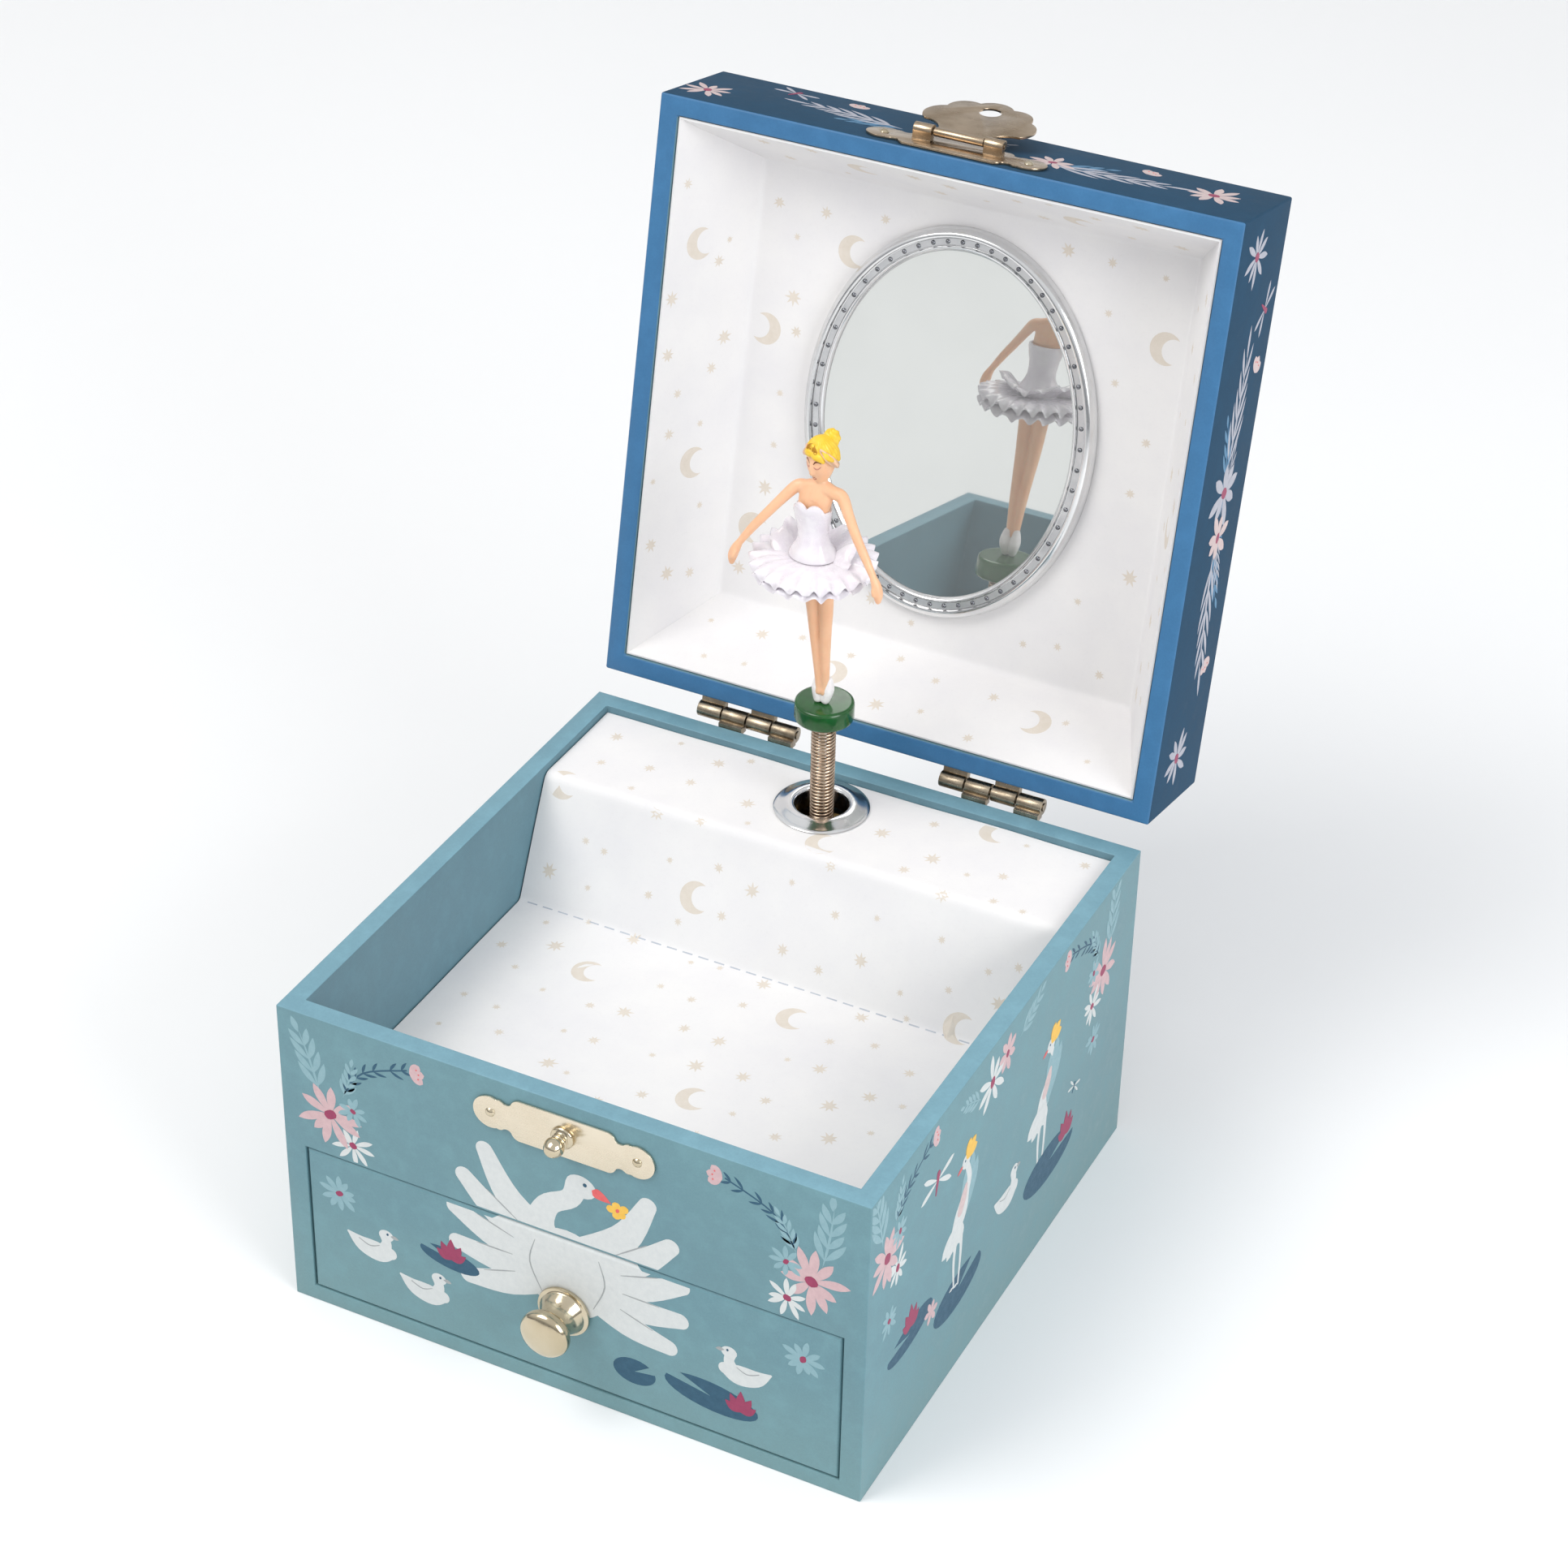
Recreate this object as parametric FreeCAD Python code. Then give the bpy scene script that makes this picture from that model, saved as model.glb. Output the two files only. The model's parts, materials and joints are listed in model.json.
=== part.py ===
import FreeCAD, Part
import math
import os

# Wind-up musical jewellery box with a drawer, a mirror in the lid and a turning dancer.
# Millimetres.  Origin: centre of the underside.  +X right along the front, +Y to the back, +Z up.

V = FreeCAD.Vector
X_AXIS = V(1, 0, 0)
Y_AXIS = V(0, 1, 0)
Z_AXIS = V(0, 0, 1)
ORIGIN = V(0, 0, 0)

# ---- case ----
HALF = 60.0                       # half of the outer width and depth
WALL = 4.0                        # covered board
INNER = HALF - WALL
BASE_H = 69.0
BOTTOM_T = 3.3
RIM_GAP = 0.35                    # between the closed lid and the base
LID_Z = BASE_H + RIM_GAP
LID_H = 26.3
LID_TOP_T = 4.0
OPEN_ANGLE = 101.6                # the lid at rest, measured from closed
CARD = 0.5                        # lining card

# ---- drawer ----
OPENING_HALF = 55.6               # opening in the front panel
OPENING_Z = (3.4, 37.6)
DRAWER_FRONT_HALF = 55.3
DRAWER_FRONT_Z = (3.6, 37.35)
DRAWER_SIDE_HALF = 54.9
DRAWER_SIDE_T = 2.5
DRAWER_BACK_Y = 14.5
DRAWER_SIDE_TOP = 33.0
DRAWER_BOTTOM_Z = 3.7
DRAWER_BOTTOM_T = 1.6
KNOB_X = -0.5
KNOB_Z = 20.7
KNOB_L = 9.6

# ---- tray and shelf over the movement ----
TRAY_Z = 43.5                     # upper face of the lining in the tray
FLOOR_BOARD_T = 3.5
CREASE_Y = 19.3
SHELF_EDGE_Y = 30.6
SHELF_Z = 67.5
SHELF_BOARD_T = 2.0
PARTITION_T = 2.0
GROMMET_R = 9.55
GROMMET_HOLE_R = 5.35

# ---- hinges ----
HINGE_Y = HALF + 2.8
HINGE_Z = BASE_H + 1.2
HINGE_X = 27.0
HINGE_L = 22.0
KNUCKLES = 4
KNUCKLE_GAP = 0.4
KNUCKLE_R = 1.65
PIN_R = 0.8
LEAF_T = 0.8
LEAF_H = 10.0
FIT = 0.05                        # radial running clearance

# ---- catch and hasp ----
CATCH_Z = 61.7
PLATE_T = 0.5
PLATE_NAIL_X = 14.9
NAIL_HOLE_R = 0.55
HASP_PLATE_Z = LID_Z + 5.4
HASP_PIN_OUT = 2.3                # pin axis from the lid's front face
HASP_PIN_Z = LID_Z + 6.5
HASP_HOLE_V = HASP_PIN_Z - CATCH_Z
HASP_LIFT = 8.5                   # flap at rest, from flat against the lid
FLAP_T = 0.5
FLAP_BARREL_HALF = 5.1
FLAP_BARREL_R = 0.85
HASP_PIN_R = 0.45
HASP_PIN_Y = -HALF - HASP_PIN_OUT
EAR_OUTER = 9.2                   # outer ends of the hasp plate's two ears

# ---- lid lining and mirror ----
LINING_BACK_HALF = 46.0
LINING_BACK_Z = LID_Z + 21.0
LINING_RIM_Z = LID_Z + 0.5
MIRROR_Y = -2.0
MIRROR_A = 31.2                   # half widths of the oval frame
MIRROR_B = 40.0
MIRROR_H = 3.0
MIRROR_BAND = 4.7                 # frame width, seen from the front
BEAD_R = 0.5
BEAD_INSET = 2.6                  # bead ring, in from the frame's edge
BEADS = 56

# ---- movement ----
SPIN_X = -2.0                     # dancer's axis
SPIN_Y = 45.8
PLATE_BACK = INNER                # bedplate against the back panel
BED_T = 1.6
BED_FRONT = PLATE_BACK - BED_T
BED_X = (-25.0, 27.0)
BED_Z = (4.5, 60.5)
BED_SCREWS = [(-20.0, 9.0), (21.0, 9.0), (22.0, 54.5)]
TAB_T = 1.2
BARREL_Z = 17.5
BARREL_R = 12.5
BARREL_FRONT = 49.0
BARREL_BACK = 53.2
CROWN_TEETH = 36
CROWN_R = (9.6, 12.2)
CROWN_TIP_Y = 47.75
PINION_TEETH = 9
CYL_R = 6.5
CYL_Z = (33.0, 52.0)
ARBOR_R = 1.0
NOTES = 18
PINS_PER_NOTE = 5
PIN_OUT = 0.5
MODULE = 0.4                      # cylinder wheel and idler pinion
WHEEL_TEETH = 36
IDLER_TEETH = 12
BACKLASH = 0.05
WHEEL_Z = (52.3, 53.5)
IDLER_X = SPIN_X - MODULE * (WHEEL_TEETH + IDLER_TEETH) / 2 - BACKLASH
WORM_WHEEL_TEETH = 15
WORM_WHEEL_R = 3.4
WORM_R = 1.3
WORM_Z = 55.5
WORM_X = IDLER_X - WORM_WHEEL_R - WORM_R
WORM_PITCH = 2 * math.pi * WORM_WHEEL_R / WORM_WHEEL_TEETH
COMB_X = (18.0, 26.0)
COMB_T = 1.2
COMB_Y = SPIN_Y - COMB_T / 2
COMB_SCREW_Z = (36.5, 42.5, 48.5)
TOOTH_TIP_X = SPIN_X + CYL_R + PIN_OUT + 0.15
FOOT_BEARING_Z = 31.0
IDLER_BEARING_Z = 49.0
IDLER_ARBOR_R = 0.6
SHAFT_R = 0.45
BRIDGE_Z = 58.0
BRIDGE_SCREW_X = (SPIN_X - 5.5, SPIN_X + 7.5)
BRIDGE_SCREW_Z = BRIDGE_Z - 1.7
BRIDGE_FLANGE_H = 3.4
GOVERNOR_FRONT = 33.5
GOVERNOR_SCREW = (-20.9, 55.5)
FAN_R = 5.2
STUB_R = 0.8                      # shanks of the small screws
KEY_R = 1.6
RATCHET_TEETH = 12
CLICK_PIVOT = (SPIN_X + 14.4, BARREL_Z + 3.0)

# ---- dancer ----
SPRING_R = 2.45
SPRING_BORE = 1.8
SPRING_Z = (60.0, 88.4)
STAND_R = 5.85
STAND_Z = (88.5, 92.6)
SOLE_Z = STAND_Z[1]
HEAD_Z = 147.2


# ---- helpers ----
def box(x0, x1, y0, y1, z0, z1):
    return Part.makeBox(x1 - x0, y1 - y0, z1 - z0, V(x0, y0, z0))


def rod(radius, start, direction, length):
    return Part.makeCylinder(radius, length, start, direction)


def wire_of(items, place):
    """Closed wire.  An item is a point, reached by a line, or (via, point), reached by an arc."""
    ends = [item[1] if isinstance(item[0], tuple) else item for item in items]
    edges = []
    for i, item in enumerate(items):
        start = place(*ends[i - 1])
        if isinstance(item[0], tuple):
            edges.append(Part.Arc(start, place(*item[0]), place(*item[1])).toShape())
        elif (start - place(*item)).Length > 1e-6:
            edges.append(Part.makeLine(start, place(*item)))
    return Part.Wire(edges)


def dome(r, h, rise):
    """Item that closes an outline from (r, h) to the axis with a round cap of the given rise."""
    sphere_r = (r * r + rise * rise) / (2 * rise)
    half_angle = math.asin(r / sphere_r) / 2
    via = (sphere_r * math.sin(half_angle), h + rise - sphere_r * (1 - math.cos(half_angle)))
    return (via, (0, h + rise))


def turned(items, base, direction):
    """Solid of revolution from (radius, height) items, its axis from base along direction."""
    face = Part.Face(wire_of(items, lambda r, h: V(r, 0, h)))
    solid = face.revolve(ORIGIN, Z_AXIS, 360)
    solid.Placement = FreeCAD.Placement(base, FreeCAD.Rotation(Z_AXIS, direction))
    return solid


def plate(items, place, thickness):
    return Part.Face(wire_of(items, place)).extrude(thickness)


def mirrored(items):
    """Outline symmetrical in its first coordinate, from the items of its right half, bottom to top."""
    ends = [item[1] if isinstance(item[0], tuple) else item for item in items]
    left = []
    for i in range(len(items) - 1, 0, -1):
        end = (-ends[i - 1][0], ends[i - 1][1])
        if isinstance(items[i][0], tuple):
            left.append(((-items[i][0][0], items[i][0][1]), end))
        else:
            left.append(end)
    return items + [(-ends[-1][0], ends[-1][1])] + left


def ellipse(half_x, half_y, z):
    """Wire of an upright or lying ellipse round the Z axis."""
    if half_x > half_y:
        curve = Part.Ellipse(ORIGIN, half_x, half_y)
    else:
        curve = Part.Ellipse(V(0, half_y, 0), V(-half_x, 0, 0), ORIGIN)
    wire = Part.Wire([curve.toShape()])
    wire.translate(V(0, 0, z))
    return wire


def oval(half_x, half_y, z0, z1):
    return Part.Face(ellipse(half_x, half_y, z0)).extrude(V(0, 0, z1 - z0))


def spur(teeth, root_r, tip_r, root_w, tip_w, thickness, offset=0.0):
    """Straight-toothed wheel on Z: trapezoid teeth on the root circle, the first at the angle offset."""
    points = []
    for i in range(teeth):
        a = 2 * math.pi * i / teeth + offset
        for r, w in ((root_r, -root_w), (tip_r, -tip_w), (tip_r, tip_w), (root_r, root_w)):
            turn = a + w / 2 / r
            points.append((r * math.cos(turn), r * math.sin(turn)))
    return plate(points, lambda x, y: V(x, y, 0), V(0, 0, thickness))


def at_lid(shape):
    """Swings a shape of the closed lid to its open place."""
    turned_shape = shape.copy()
    turned_shape.rotate(V(0, HINGE_Y, HINGE_Z), X_AXIS, -OPEN_ANGLE)
    return turned_shape


# ---- case ----
def base_panels():
    front = box(-HALF, HALF, -HALF, -INNER, 0, BASE_H)
    front = front.cut(box(-OPENING_HALF, OPENING_HALF, -HALF, -INNER, *OPENING_Z))
    back = box(-HALF, HALF, INNER, HALF, 0, BASE_H)
    key_hole = rod(KEY_R + 0.8, V(SPIN_X, INNER, BARREL_Z), Y_AXIS, WALL)
    screw_holes = [rod(1.1, V(x, INNER, z), Y_AXIS, WALL) for x, z in BED_SCREWS]
    back = back.cut([key_hole] + screw_holes)
    return {
        "base_front_panel": front,
        "base_back_panel": back,
        "base_left_panel": box(-HALF, -INNER, -INNER, INNER, 0, BASE_H),
        "base_right_panel": box(INNER, HALF, -INNER, INNER, 0, BASE_H),
        "base_bottom_panel": box(-INNER, INNER, -INNER, INNER, 0, BOTTOM_T),
    }


def tray_parts():
    board_top = TRAY_Z - CARD
    floor = box(-INNER, INNER, -INNER, CREASE_Y, board_top - FLOOR_BOARD_T, board_top)
    partition = box(-INNER, INNER, CREASE_Y - PARTITION_T, CREASE_Y, BOTTOM_T, board_top - FLOOR_BOARD_T)
    board_z = SHELF_Z - CARD
    shelf = box(-INNER, INNER, SHELF_EDGE_Y + 1.0, INNER, board_z - SHELF_BOARD_T, board_z)
    shelf = shelf.cut(rod(GROMMET_HOLE_R + 0.6, V(SPIN_X, SPIN_Y, 0), Z_AXIS, SHELF_Z))
    # One card: tray floor, slope and shelf, cut from the side outline.
    half = INNER - 0.3
    fold = [
        (-INNER + 0.3, board_top),
        (CREASE_Y + CARD, board_top),
        (SHELF_EDGE_Y + CARD, board_z),
        (INNER - 0.2, board_z),
        (INNER - 0.2, SHELF_Z),
        (SHELF_EDGE_Y, SHELF_Z),
        (CREASE_Y, TRAY_Z),
        (-INNER + 0.3, TRAY_Z),
    ]
    lining = plate(fold, lambda y, z: V(-half, y, z), V(2 * half, 0, 0))
    lining = lining.cut(rod(GROMMET_HOLE_R + 0.6, V(SPIN_X, SPIN_Y, board_z - 1), Z_AXIS, 3))
    return {
        "tray_floor_board": floor,
        "movement_partition": partition,
        "shelf_board": shelf,
        "tray_lining": lining,
    }


def shelf_grommet():
    """Rolled eyelet: a domed flange over the card and a tube through card and board."""
    r, hole = GROMMET_R, GROMMET_HOLE_R
    tube = hole + 0.5
    foot = -CARD - SHELF_BOARD_T
    items = [
        (hole, foot - 0.9),
        (hole, 0.7),
        ((hole + 0.35, 1.25), (hole + 1.0, 1.45)),
        ((hole + 2.6, 1.25), (r - 0.25, 0.35)),
        ((r, 0.2), (r, 0.02)),
        (tube, 0.02),
        (tube, foot - 0.02),
        (tube + 1.3, foot - 0.02),
        ((tube + 1.4, foot - 0.6), (tube + 0.8, foot - 0.9)),
    ]
    return turned(items, V(SPIN_X, SPIN_Y, SHELF_Z), Z_AXIS)


def lid_parts():
    top = LID_Z + LID_H - LID_TOP_T
    parts = {
        "lid_front_panel": box(-HALF, HALF, -HALF, -INNER, LID_Z, top),
        "lid_back_panel": box(-HALF, HALF, INNER, HALF, LID_Z, top),
        "lid_left_panel": box(-HALF, -INNER, -INNER, INNER, LID_Z, top),
        "lid_right_panel": box(INNER, HALF, -INNER, INNER, LID_Z, top),
        "lid_top_panel": box(-HALF, HALF, -HALF, HALF, top, top + LID_TOP_T),
        "lid_lining": lid_lining(),
    }
    return parts


def lid_lining():
    """Shallow card tray with sloping sides, open towards the rim."""

    def funnel(rim_half, rim_z, back_half, back_z):
        squares = []
        for h, z in ((rim_half, rim_z), (back_half, back_z)):
            corners = [V(-h, -h, z), V(h, -h, z), V(h, h, z), V(-h, h, z)]
            squares.append(Part.makePolygon(corners + [corners[0]]))
        return Part.makeLoft(squares, True, True)

    outer = funnel(INNER - 0.1, LINING_RIM_Z, LINING_BACK_HALF + CARD, LINING_BACK_Z + CARD)
    inner = funnel(INNER - 0.1 - CARD, LINING_RIM_Z, LINING_BACK_HALF, LINING_BACK_Z)
    return outer.cut(inner)


def mirror_parts():
    """Oval mirror under the closed lid, made face up on the Z axis and turned over into place."""
    a, b, h = MIRROR_A, MIRROR_B, MIRROR_H
    band = MIRROR_BAND
    body = oval(a, b, 0, 0.8)
    slope = Part.makeLoft([ellipse(a, b, 0.8), ellipse(a - 1.3, b - 1.3, h)], True)
    frame = body.fuse(slope)
    groove = oval(a - 1.9, b - 1.9, h - 0.6, h).cut(oval(a - 3.3, b - 3.3, h - 0.6, h))
    rebate = oval(a - band + 1.5, b - band + 1.5, 0, 1.9)
    frame = frame.cut([oval(a - band, b - band, 0, h), groove, rebate])
    beads = []
    for i in range(BEADS):
        t = 2 * math.pi * i / BEADS
        spot = V((a - BEAD_INSET) * math.cos(t), (b - BEAD_INSET) * math.sin(t), h - 0.6)
        beads.append(Part.makeSphere(BEAD_R, spot))
    frame = frame.fuse(beads)
    inner_a = a - band + 1.4
    inner_b = b - band + 1.4
    parts = {
        "mirror_frame": frame,
        "mirror_backing": oval(inner_a, inner_b, 0.05, 0.85),
        "mirror_glass": oval(inner_a, inner_b, 0.85, 1.85),
    }
    place = FreeCAD.Placement(V(0, MIRROR_Y, LINING_BACK_Z), FreeCAD.Rotation(X_AXIS, 180))
    for shape in parts.values():
        shape.Placement = place
    return parts


# ---- hinges ----
def knuckle_spans(x0):
    length = (HINGE_L - KNUCKLE_GAP * (KNUCKLES - 1)) / KNUCKLES
    starts = [x0 + i * (length + KNUCKLE_GAP) for i in range(KNUCKLES)]
    return [(start, start + length) for start in starts]


def leaf_nail_spots(x_middle, up):
    """Nail places on a leaf: two near its ends and one between them, nearer the knuckles."""
    far = HINGE_Z + up * (LEAF_H - 0.6)
    near = HINGE_Z + up * 5.2
    return [(x_middle - 8.0, far), (x_middle, near), (x_middle + 8.0, far)]


def hinge_leaf(x_middle, up):
    """One leaf on the outer back face, with its rolled knuckles; up is 1 for the lid, -1 for the base."""
    x0 = x_middle - HINGE_L / 2
    x1 = x_middle + HINGE_L / 2
    near = HINGE_Z + up * 2.0
    far = HINGE_Z + up * (LEAF_H + 2.0)
    leaf = box(x0, x1, HALF, HALF + LEAF_T, min(near, far), max(near, far))
    spans = knuckle_spans(x0)[0::2] if up > 0 else knuckle_spans(x0)[1::2]
    pieces = []
    for a, b in spans:
        web_z = sorted((HINGE_Z + up * 0.4, HINGE_Z + up * 2.0))
        pieces.append(box(a, b, HALF, HINGE_Y - 0.6, *web_z))
        pieces.append(rod(KNUCKLE_R, V(a, HINGE_Y, HINGE_Z), X_AXIS, b - a))
    leaf = leaf.fuse(pieces)
    holes = [rod(PIN_R + FIT, V(x0 - 1, HINGE_Y, HINGE_Z), X_AXIS, HINGE_L + 2)]
    for x, z in leaf_nail_spots(x_middle, up):
        holes.append(rod(NAIL_HOLE_R, V(x, HALF, z), Y_AXIS, LEAF_T))
    return leaf.cut(holes)


def hinge_pins():
    pins = []
    for x in (-HINGE_X, HINGE_X):
        pins.append(rod(PIN_R, V(x - HINGE_L / 2 - 0.2, HINGE_Y, HINGE_Z), X_AXIS, HINGE_L + 0.4))
    return Part.makeCompound(pins)


def nail(spot, inward, sheet):
    """Round-headed nail: the head lies on a sheet of the given thickness, the shank goes inward."""
    items = [
        (0, -3.0),
        (0.5, -2.4),
        (0.5, sheet),
        (0.95, sheet),
        dome(0.95, sheet, 0.55),
    ]
    return turned(items, spot, inward * -1)


# ---- catch on the base, hasp on the lid ----
def scalloped_plate(y, z, thickness):
    """Long plate with stepped shoulders and round ends, standing out of the face at y."""
    right = [
        (0, -4.5),
        (8.6, -4.5),
        ((9.9, -4.2), (10.6, -3.2)),
        ((11.5, -2.75), (12.4, -3.1)),
        ((13.0, -3.3), (13.6, -3.2)),
        ((18.4, 0), (13.6, 3.2)),
        ((13.0, 3.3), (12.4, 3.1)),
        ((11.5, 2.75), (10.6, 3.2)),
        ((9.9, 4.2), (8.6, 4.5)),
        (0, 4.5),
    ]
    return plate(mirrored(right)[:-1], lambda x, h: V(x, y, z + h), V(0, -thickness, 0))


def catch_parts():
    y = -HALF
    base = scalloped_plate(y, CATCH_Z, PLATE_T)
    holes = [rod(NAIL_HOLE_R, V(x, y - 1, CATCH_Z), Y_AXIS, 2) for x in (-PLATE_NAIL_X, PLATE_NAIL_X)]
    holes.append(rod(1.05, V(0, y - 1, CATCH_Z), Y_AXIS, 2))
    stud = [
        (0, -2.6),
        (1.0, -2.6),
        (1.0, PLATE_T),
        (2.1, PLATE_T),
        ((2.2, PLATE_T + 0.35), (1.9, PLATE_T + 0.7)),
        (1.35, PLATE_T + 0.8),
        (1.2, PLATE_T + 2.4),
        ((1.3, PLATE_T + 2.75), (1.65, PLATE_T + 2.95)),
        ((1.8, PLATE_T + 3.9), (1.1, PLATE_T + 4.8)),
        dome(1.1, PLATE_T + 4.8, 0.3),
    ]
    return {
        "catch_plate": base.cut(holes),
        "catch_stud": turned(stud, V(0, y, CATCH_Z), Y_AXIS * -1),
    }


def hasp_plate():
    solid = scalloped_plate(-HALF, HASP_PLATE_Z, PLATE_T)
    ears = []
    length = EAR_OUTER - FLAP_BARREL_HALF - 0.3
    for x0 in (-EAR_OUTER, EAR_OUTER - length):
        ears.append(rod(1.2, V(x0, HASP_PIN_Y, HASP_PIN_Z), X_AXIS, length))
        ears.append(box(x0, x0 + length, HASP_PIN_Y, -HALF, HASP_PIN_Z - 1.1, HASP_PIN_Z + 0.5))
    solid = solid.fuse(ears)
    holes = [rod(HASP_PIN_R + FIT, V(-10, HASP_PIN_Y, HASP_PIN_Z), X_AXIS, 20)]
    for x in (-PLATE_NAIL_X, PLATE_NAIL_X):
        holes.append(rod(NAIL_HOLE_R, V(x, -HALF - 1, HASP_PLATE_Z), Y_AXIS, 2))
    return solid.cut(holes)


def hasp_flap():
    """Shell-shaped flap on its rolled barrel, lifted a little from the lid's front face."""
    centre = 7.9                  # of the shell, from the pin
    cusp_r = 10.2
    cusps = [math.radians(a) for a in (-14, 32, 70, 110, 148, 194)]
    items = [(-FLAP_BARREL_HALF, 0), (FLAP_BARREL_HALF, 0), (FLAP_BARREL_HALF, 0.9)]

    def polar(r, a):
        return (r * math.cos(a), centre + r * math.sin(a))

    items.append(((6.2, 3.6), polar(cusp_r, cusps[0])))
    for a, b in zip(cusps, cusps[1:]):
        items.append((polar(cusp_r + 1.3, (a + b) / 2), polar(cusp_r, b)))
    items.append(((-6.2, 3.6), (-FLAP_BARREL_HALF, 0.9)))
    y = HASP_PIN_Y - FLAP_T / 2
    sheet = plate(items, lambda x, v: V(x, y, HASP_PIN_Z + v), V(0, FLAP_T, 0))
    length = 2 * FLAP_BARREL_HALF
    barrel = rod(FLAP_BARREL_R, V(-FLAP_BARREL_HALF, HASP_PIN_Y, HASP_PIN_Z), X_AXIS, length)
    flap = sheet.fuse(barrel)
    flap = flap.cut(rod(HASP_PIN_R + FIT, V(-20, HASP_PIN_Y, HASP_PIN_Z), X_AXIS, 40))
    flap = flap.cut(rod(2.2, V(0, HASP_PIN_Y - 2, HASP_PIN_Z + HASP_HOLE_V), Y_AXIS, 4))
    flap.rotate(V(0, HASP_PIN_Y, HASP_PIN_Z), X_AXIS, HASP_LIFT)
    return flap


# ---- drawer ----
def drawer_parts():
    z0 = DRAWER_BOTTOM_Z
    z1 = DRAWER_SIDE_TOP
    side = DRAWER_SIDE_HALF
    inner = side - DRAWER_SIDE_T
    front = box(-DRAWER_FRONT_HALF, DRAWER_FRONT_HALF, -HALF, -INNER, *DRAWER_FRONT_Z)
    front = front.cut(rod(1.25, V(KNOB_X, -HALF, KNOB_Z), Y_AXIS, WALL))
    back_y = DRAWER_BACK_Y - DRAWER_SIDE_T
    knob = [
        (0, 0),
        (5.2, 0),
        ((5.45, 0.4), (5.2, 0.95)),
        (4.5, 1.1),
        ((4.35, 1.75), (3.9, 2.2)),
        ((3.15, 4.2), (3.4, 6.0)),
        ((3.75, 6.35), (4.3, 6.5)),
        ((4.75, 7.4), (4.3, 8.5)),
        dome(4.3, 8.5, KNOB_L - 8.5),
    ]
    knob_solid = turned(knob, V(KNOB_X, -HALF, KNOB_Z), Y_AXIS * -1)
    knob_solid = knob_solid.cut(rod(1.25, V(KNOB_X, -HALF - 5.5, KNOB_Z), Y_AXIS, 5.5))
    screw = [
        (0, -5.2),
        (1.2, -5.2),
        (1.2, WALL),
        (2.6, WALL),
        dome(2.6, WALL, 1.2),
    ]
    return {
        "drawer_front": front,
        "drawer_left_side": box(-side, -inner, -INNER, DRAWER_BACK_Y, z0, z1),
        "drawer_right_side": box(inner, side, -INNER, DRAWER_BACK_Y, z0, z1),
        "drawer_back": box(-inner, inner, back_y, DRAWER_BACK_Y, z0, z1),
        "drawer_bottom": box(-inner, inner, -INNER, back_y, z0, z0 + DRAWER_BOTTOM_T),
        "drawer_knob": knob_solid,
        "drawer_knob_screw": turned(screw, V(KNOB_X, -HALF, KNOB_Z), Y_AXIS),
    }


# ---- movement: fixed parts ----
def bedplate():
    bed = box(*BED_X, BED_FRONT, PLATE_BACK, *BED_Z)
    comb_rail = box(COMB_X[0] + 0.5, COMB_X[1] - 0.5, COMB_Y + COMB_T, BED_FRONT, *CYL_Z)
    foot = box(SPIN_X - 3, SPIN_X + 3, SPIN_Y - 2.8, BED_FRONT, FOOT_BEARING_Z, FOOT_BEARING_Z + TAB_T)
    idler_tab = box(
        IDLER_X - 2.4, IDLER_X + 2.1, SPIN_Y - 2.4, BED_FRONT, IDLER_BEARING_Z, IDLER_BEARING_Z + TAB_T
    )
    click_post = rod(1.0, V(CLICK_PIVOT[0], BED_FRONT - 1.3, CLICK_PIVOT[1]), Y_AXIS, 1.3)
    solid = bed.fuse([comb_rail, foot, idler_tab, click_post])
    holes = [
        rod(KEY_R + FIT, V(SPIN_X, BED_FRONT, BARREL_Z), Y_AXIS, BED_T),
        rod(ARBOR_R + FIT, V(SPIN_X, SPIN_Y, FOOT_BEARING_Z), Z_AXIS, TAB_T),
        rod(IDLER_ARBOR_R + FIT, V(IDLER_X, SPIN_Y, IDLER_BEARING_Z), Z_AXIS, TAB_T),
        rod(SHAFT_R + FIT, V(WORM_X, BED_FRONT, WORM_Z), Y_AXIS, BED_T),
        rod(STUB_R + 0.02, V(GOVERNOR_SCREW[0], BED_FRONT, GOVERNOR_SCREW[1]), Y_AXIS, BED_T),
    ]
    holes += [rod(1.02, V(x, BED_FRONT, z), Y_AXIS, BED_T) for x, z in BED_SCREWS]
    holes += [rod(STUB_R + 0.02, V(x, BED_FRONT, BRIDGE_SCREW_Z), Y_AXIS, BED_T) for x in BRIDGE_SCREW_X]
    comb_x = sum(COMB_X) / 2
    holes += [rod(STUB_R + 0.02, V(comb_x, COMB_Y, z), Y_AXIS, 6) for z in COMB_SCREW_Z]
    return solid.cut(holes)


def comb():
    """Steel comb: a clamped back and one tooth for each note, the longer ones weighted for low notes."""
    x0, x1 = COMB_X
    back = box(x0, x1, COMB_Y, COMB_Y + COMB_T, *CYL_Z)
    pitch = (CYL_Z[1] - CYL_Z[0]) / NOTES
    pieces = []
    for i in range(NOTES):
        z = CYL_Z[0] + (i + 0.5) * pitch
        tooth_y = COMB_Y + 0.3
        pieces.append(box(TOOTH_TIP_X, x0, tooth_y, tooth_y + 0.6, z - 0.38, z + 0.38))
        if i < NOTES // 3:
            weight_x = TOOTH_TIP_X + 1.6
            pieces.append(box(weight_x, weight_x + 2.6, tooth_y + 0.6, tooth_y + 1.9, z - 0.38, z + 0.38))
    solid = back.fuse(pieces)
    comb_x = (x0 + x1) / 2
    return solid.cut([rod(STUB_R + 0.02, V(comb_x, COMB_Y, z), Y_AXIS, COMB_T) for z in COMB_SCREW_Z])


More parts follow.
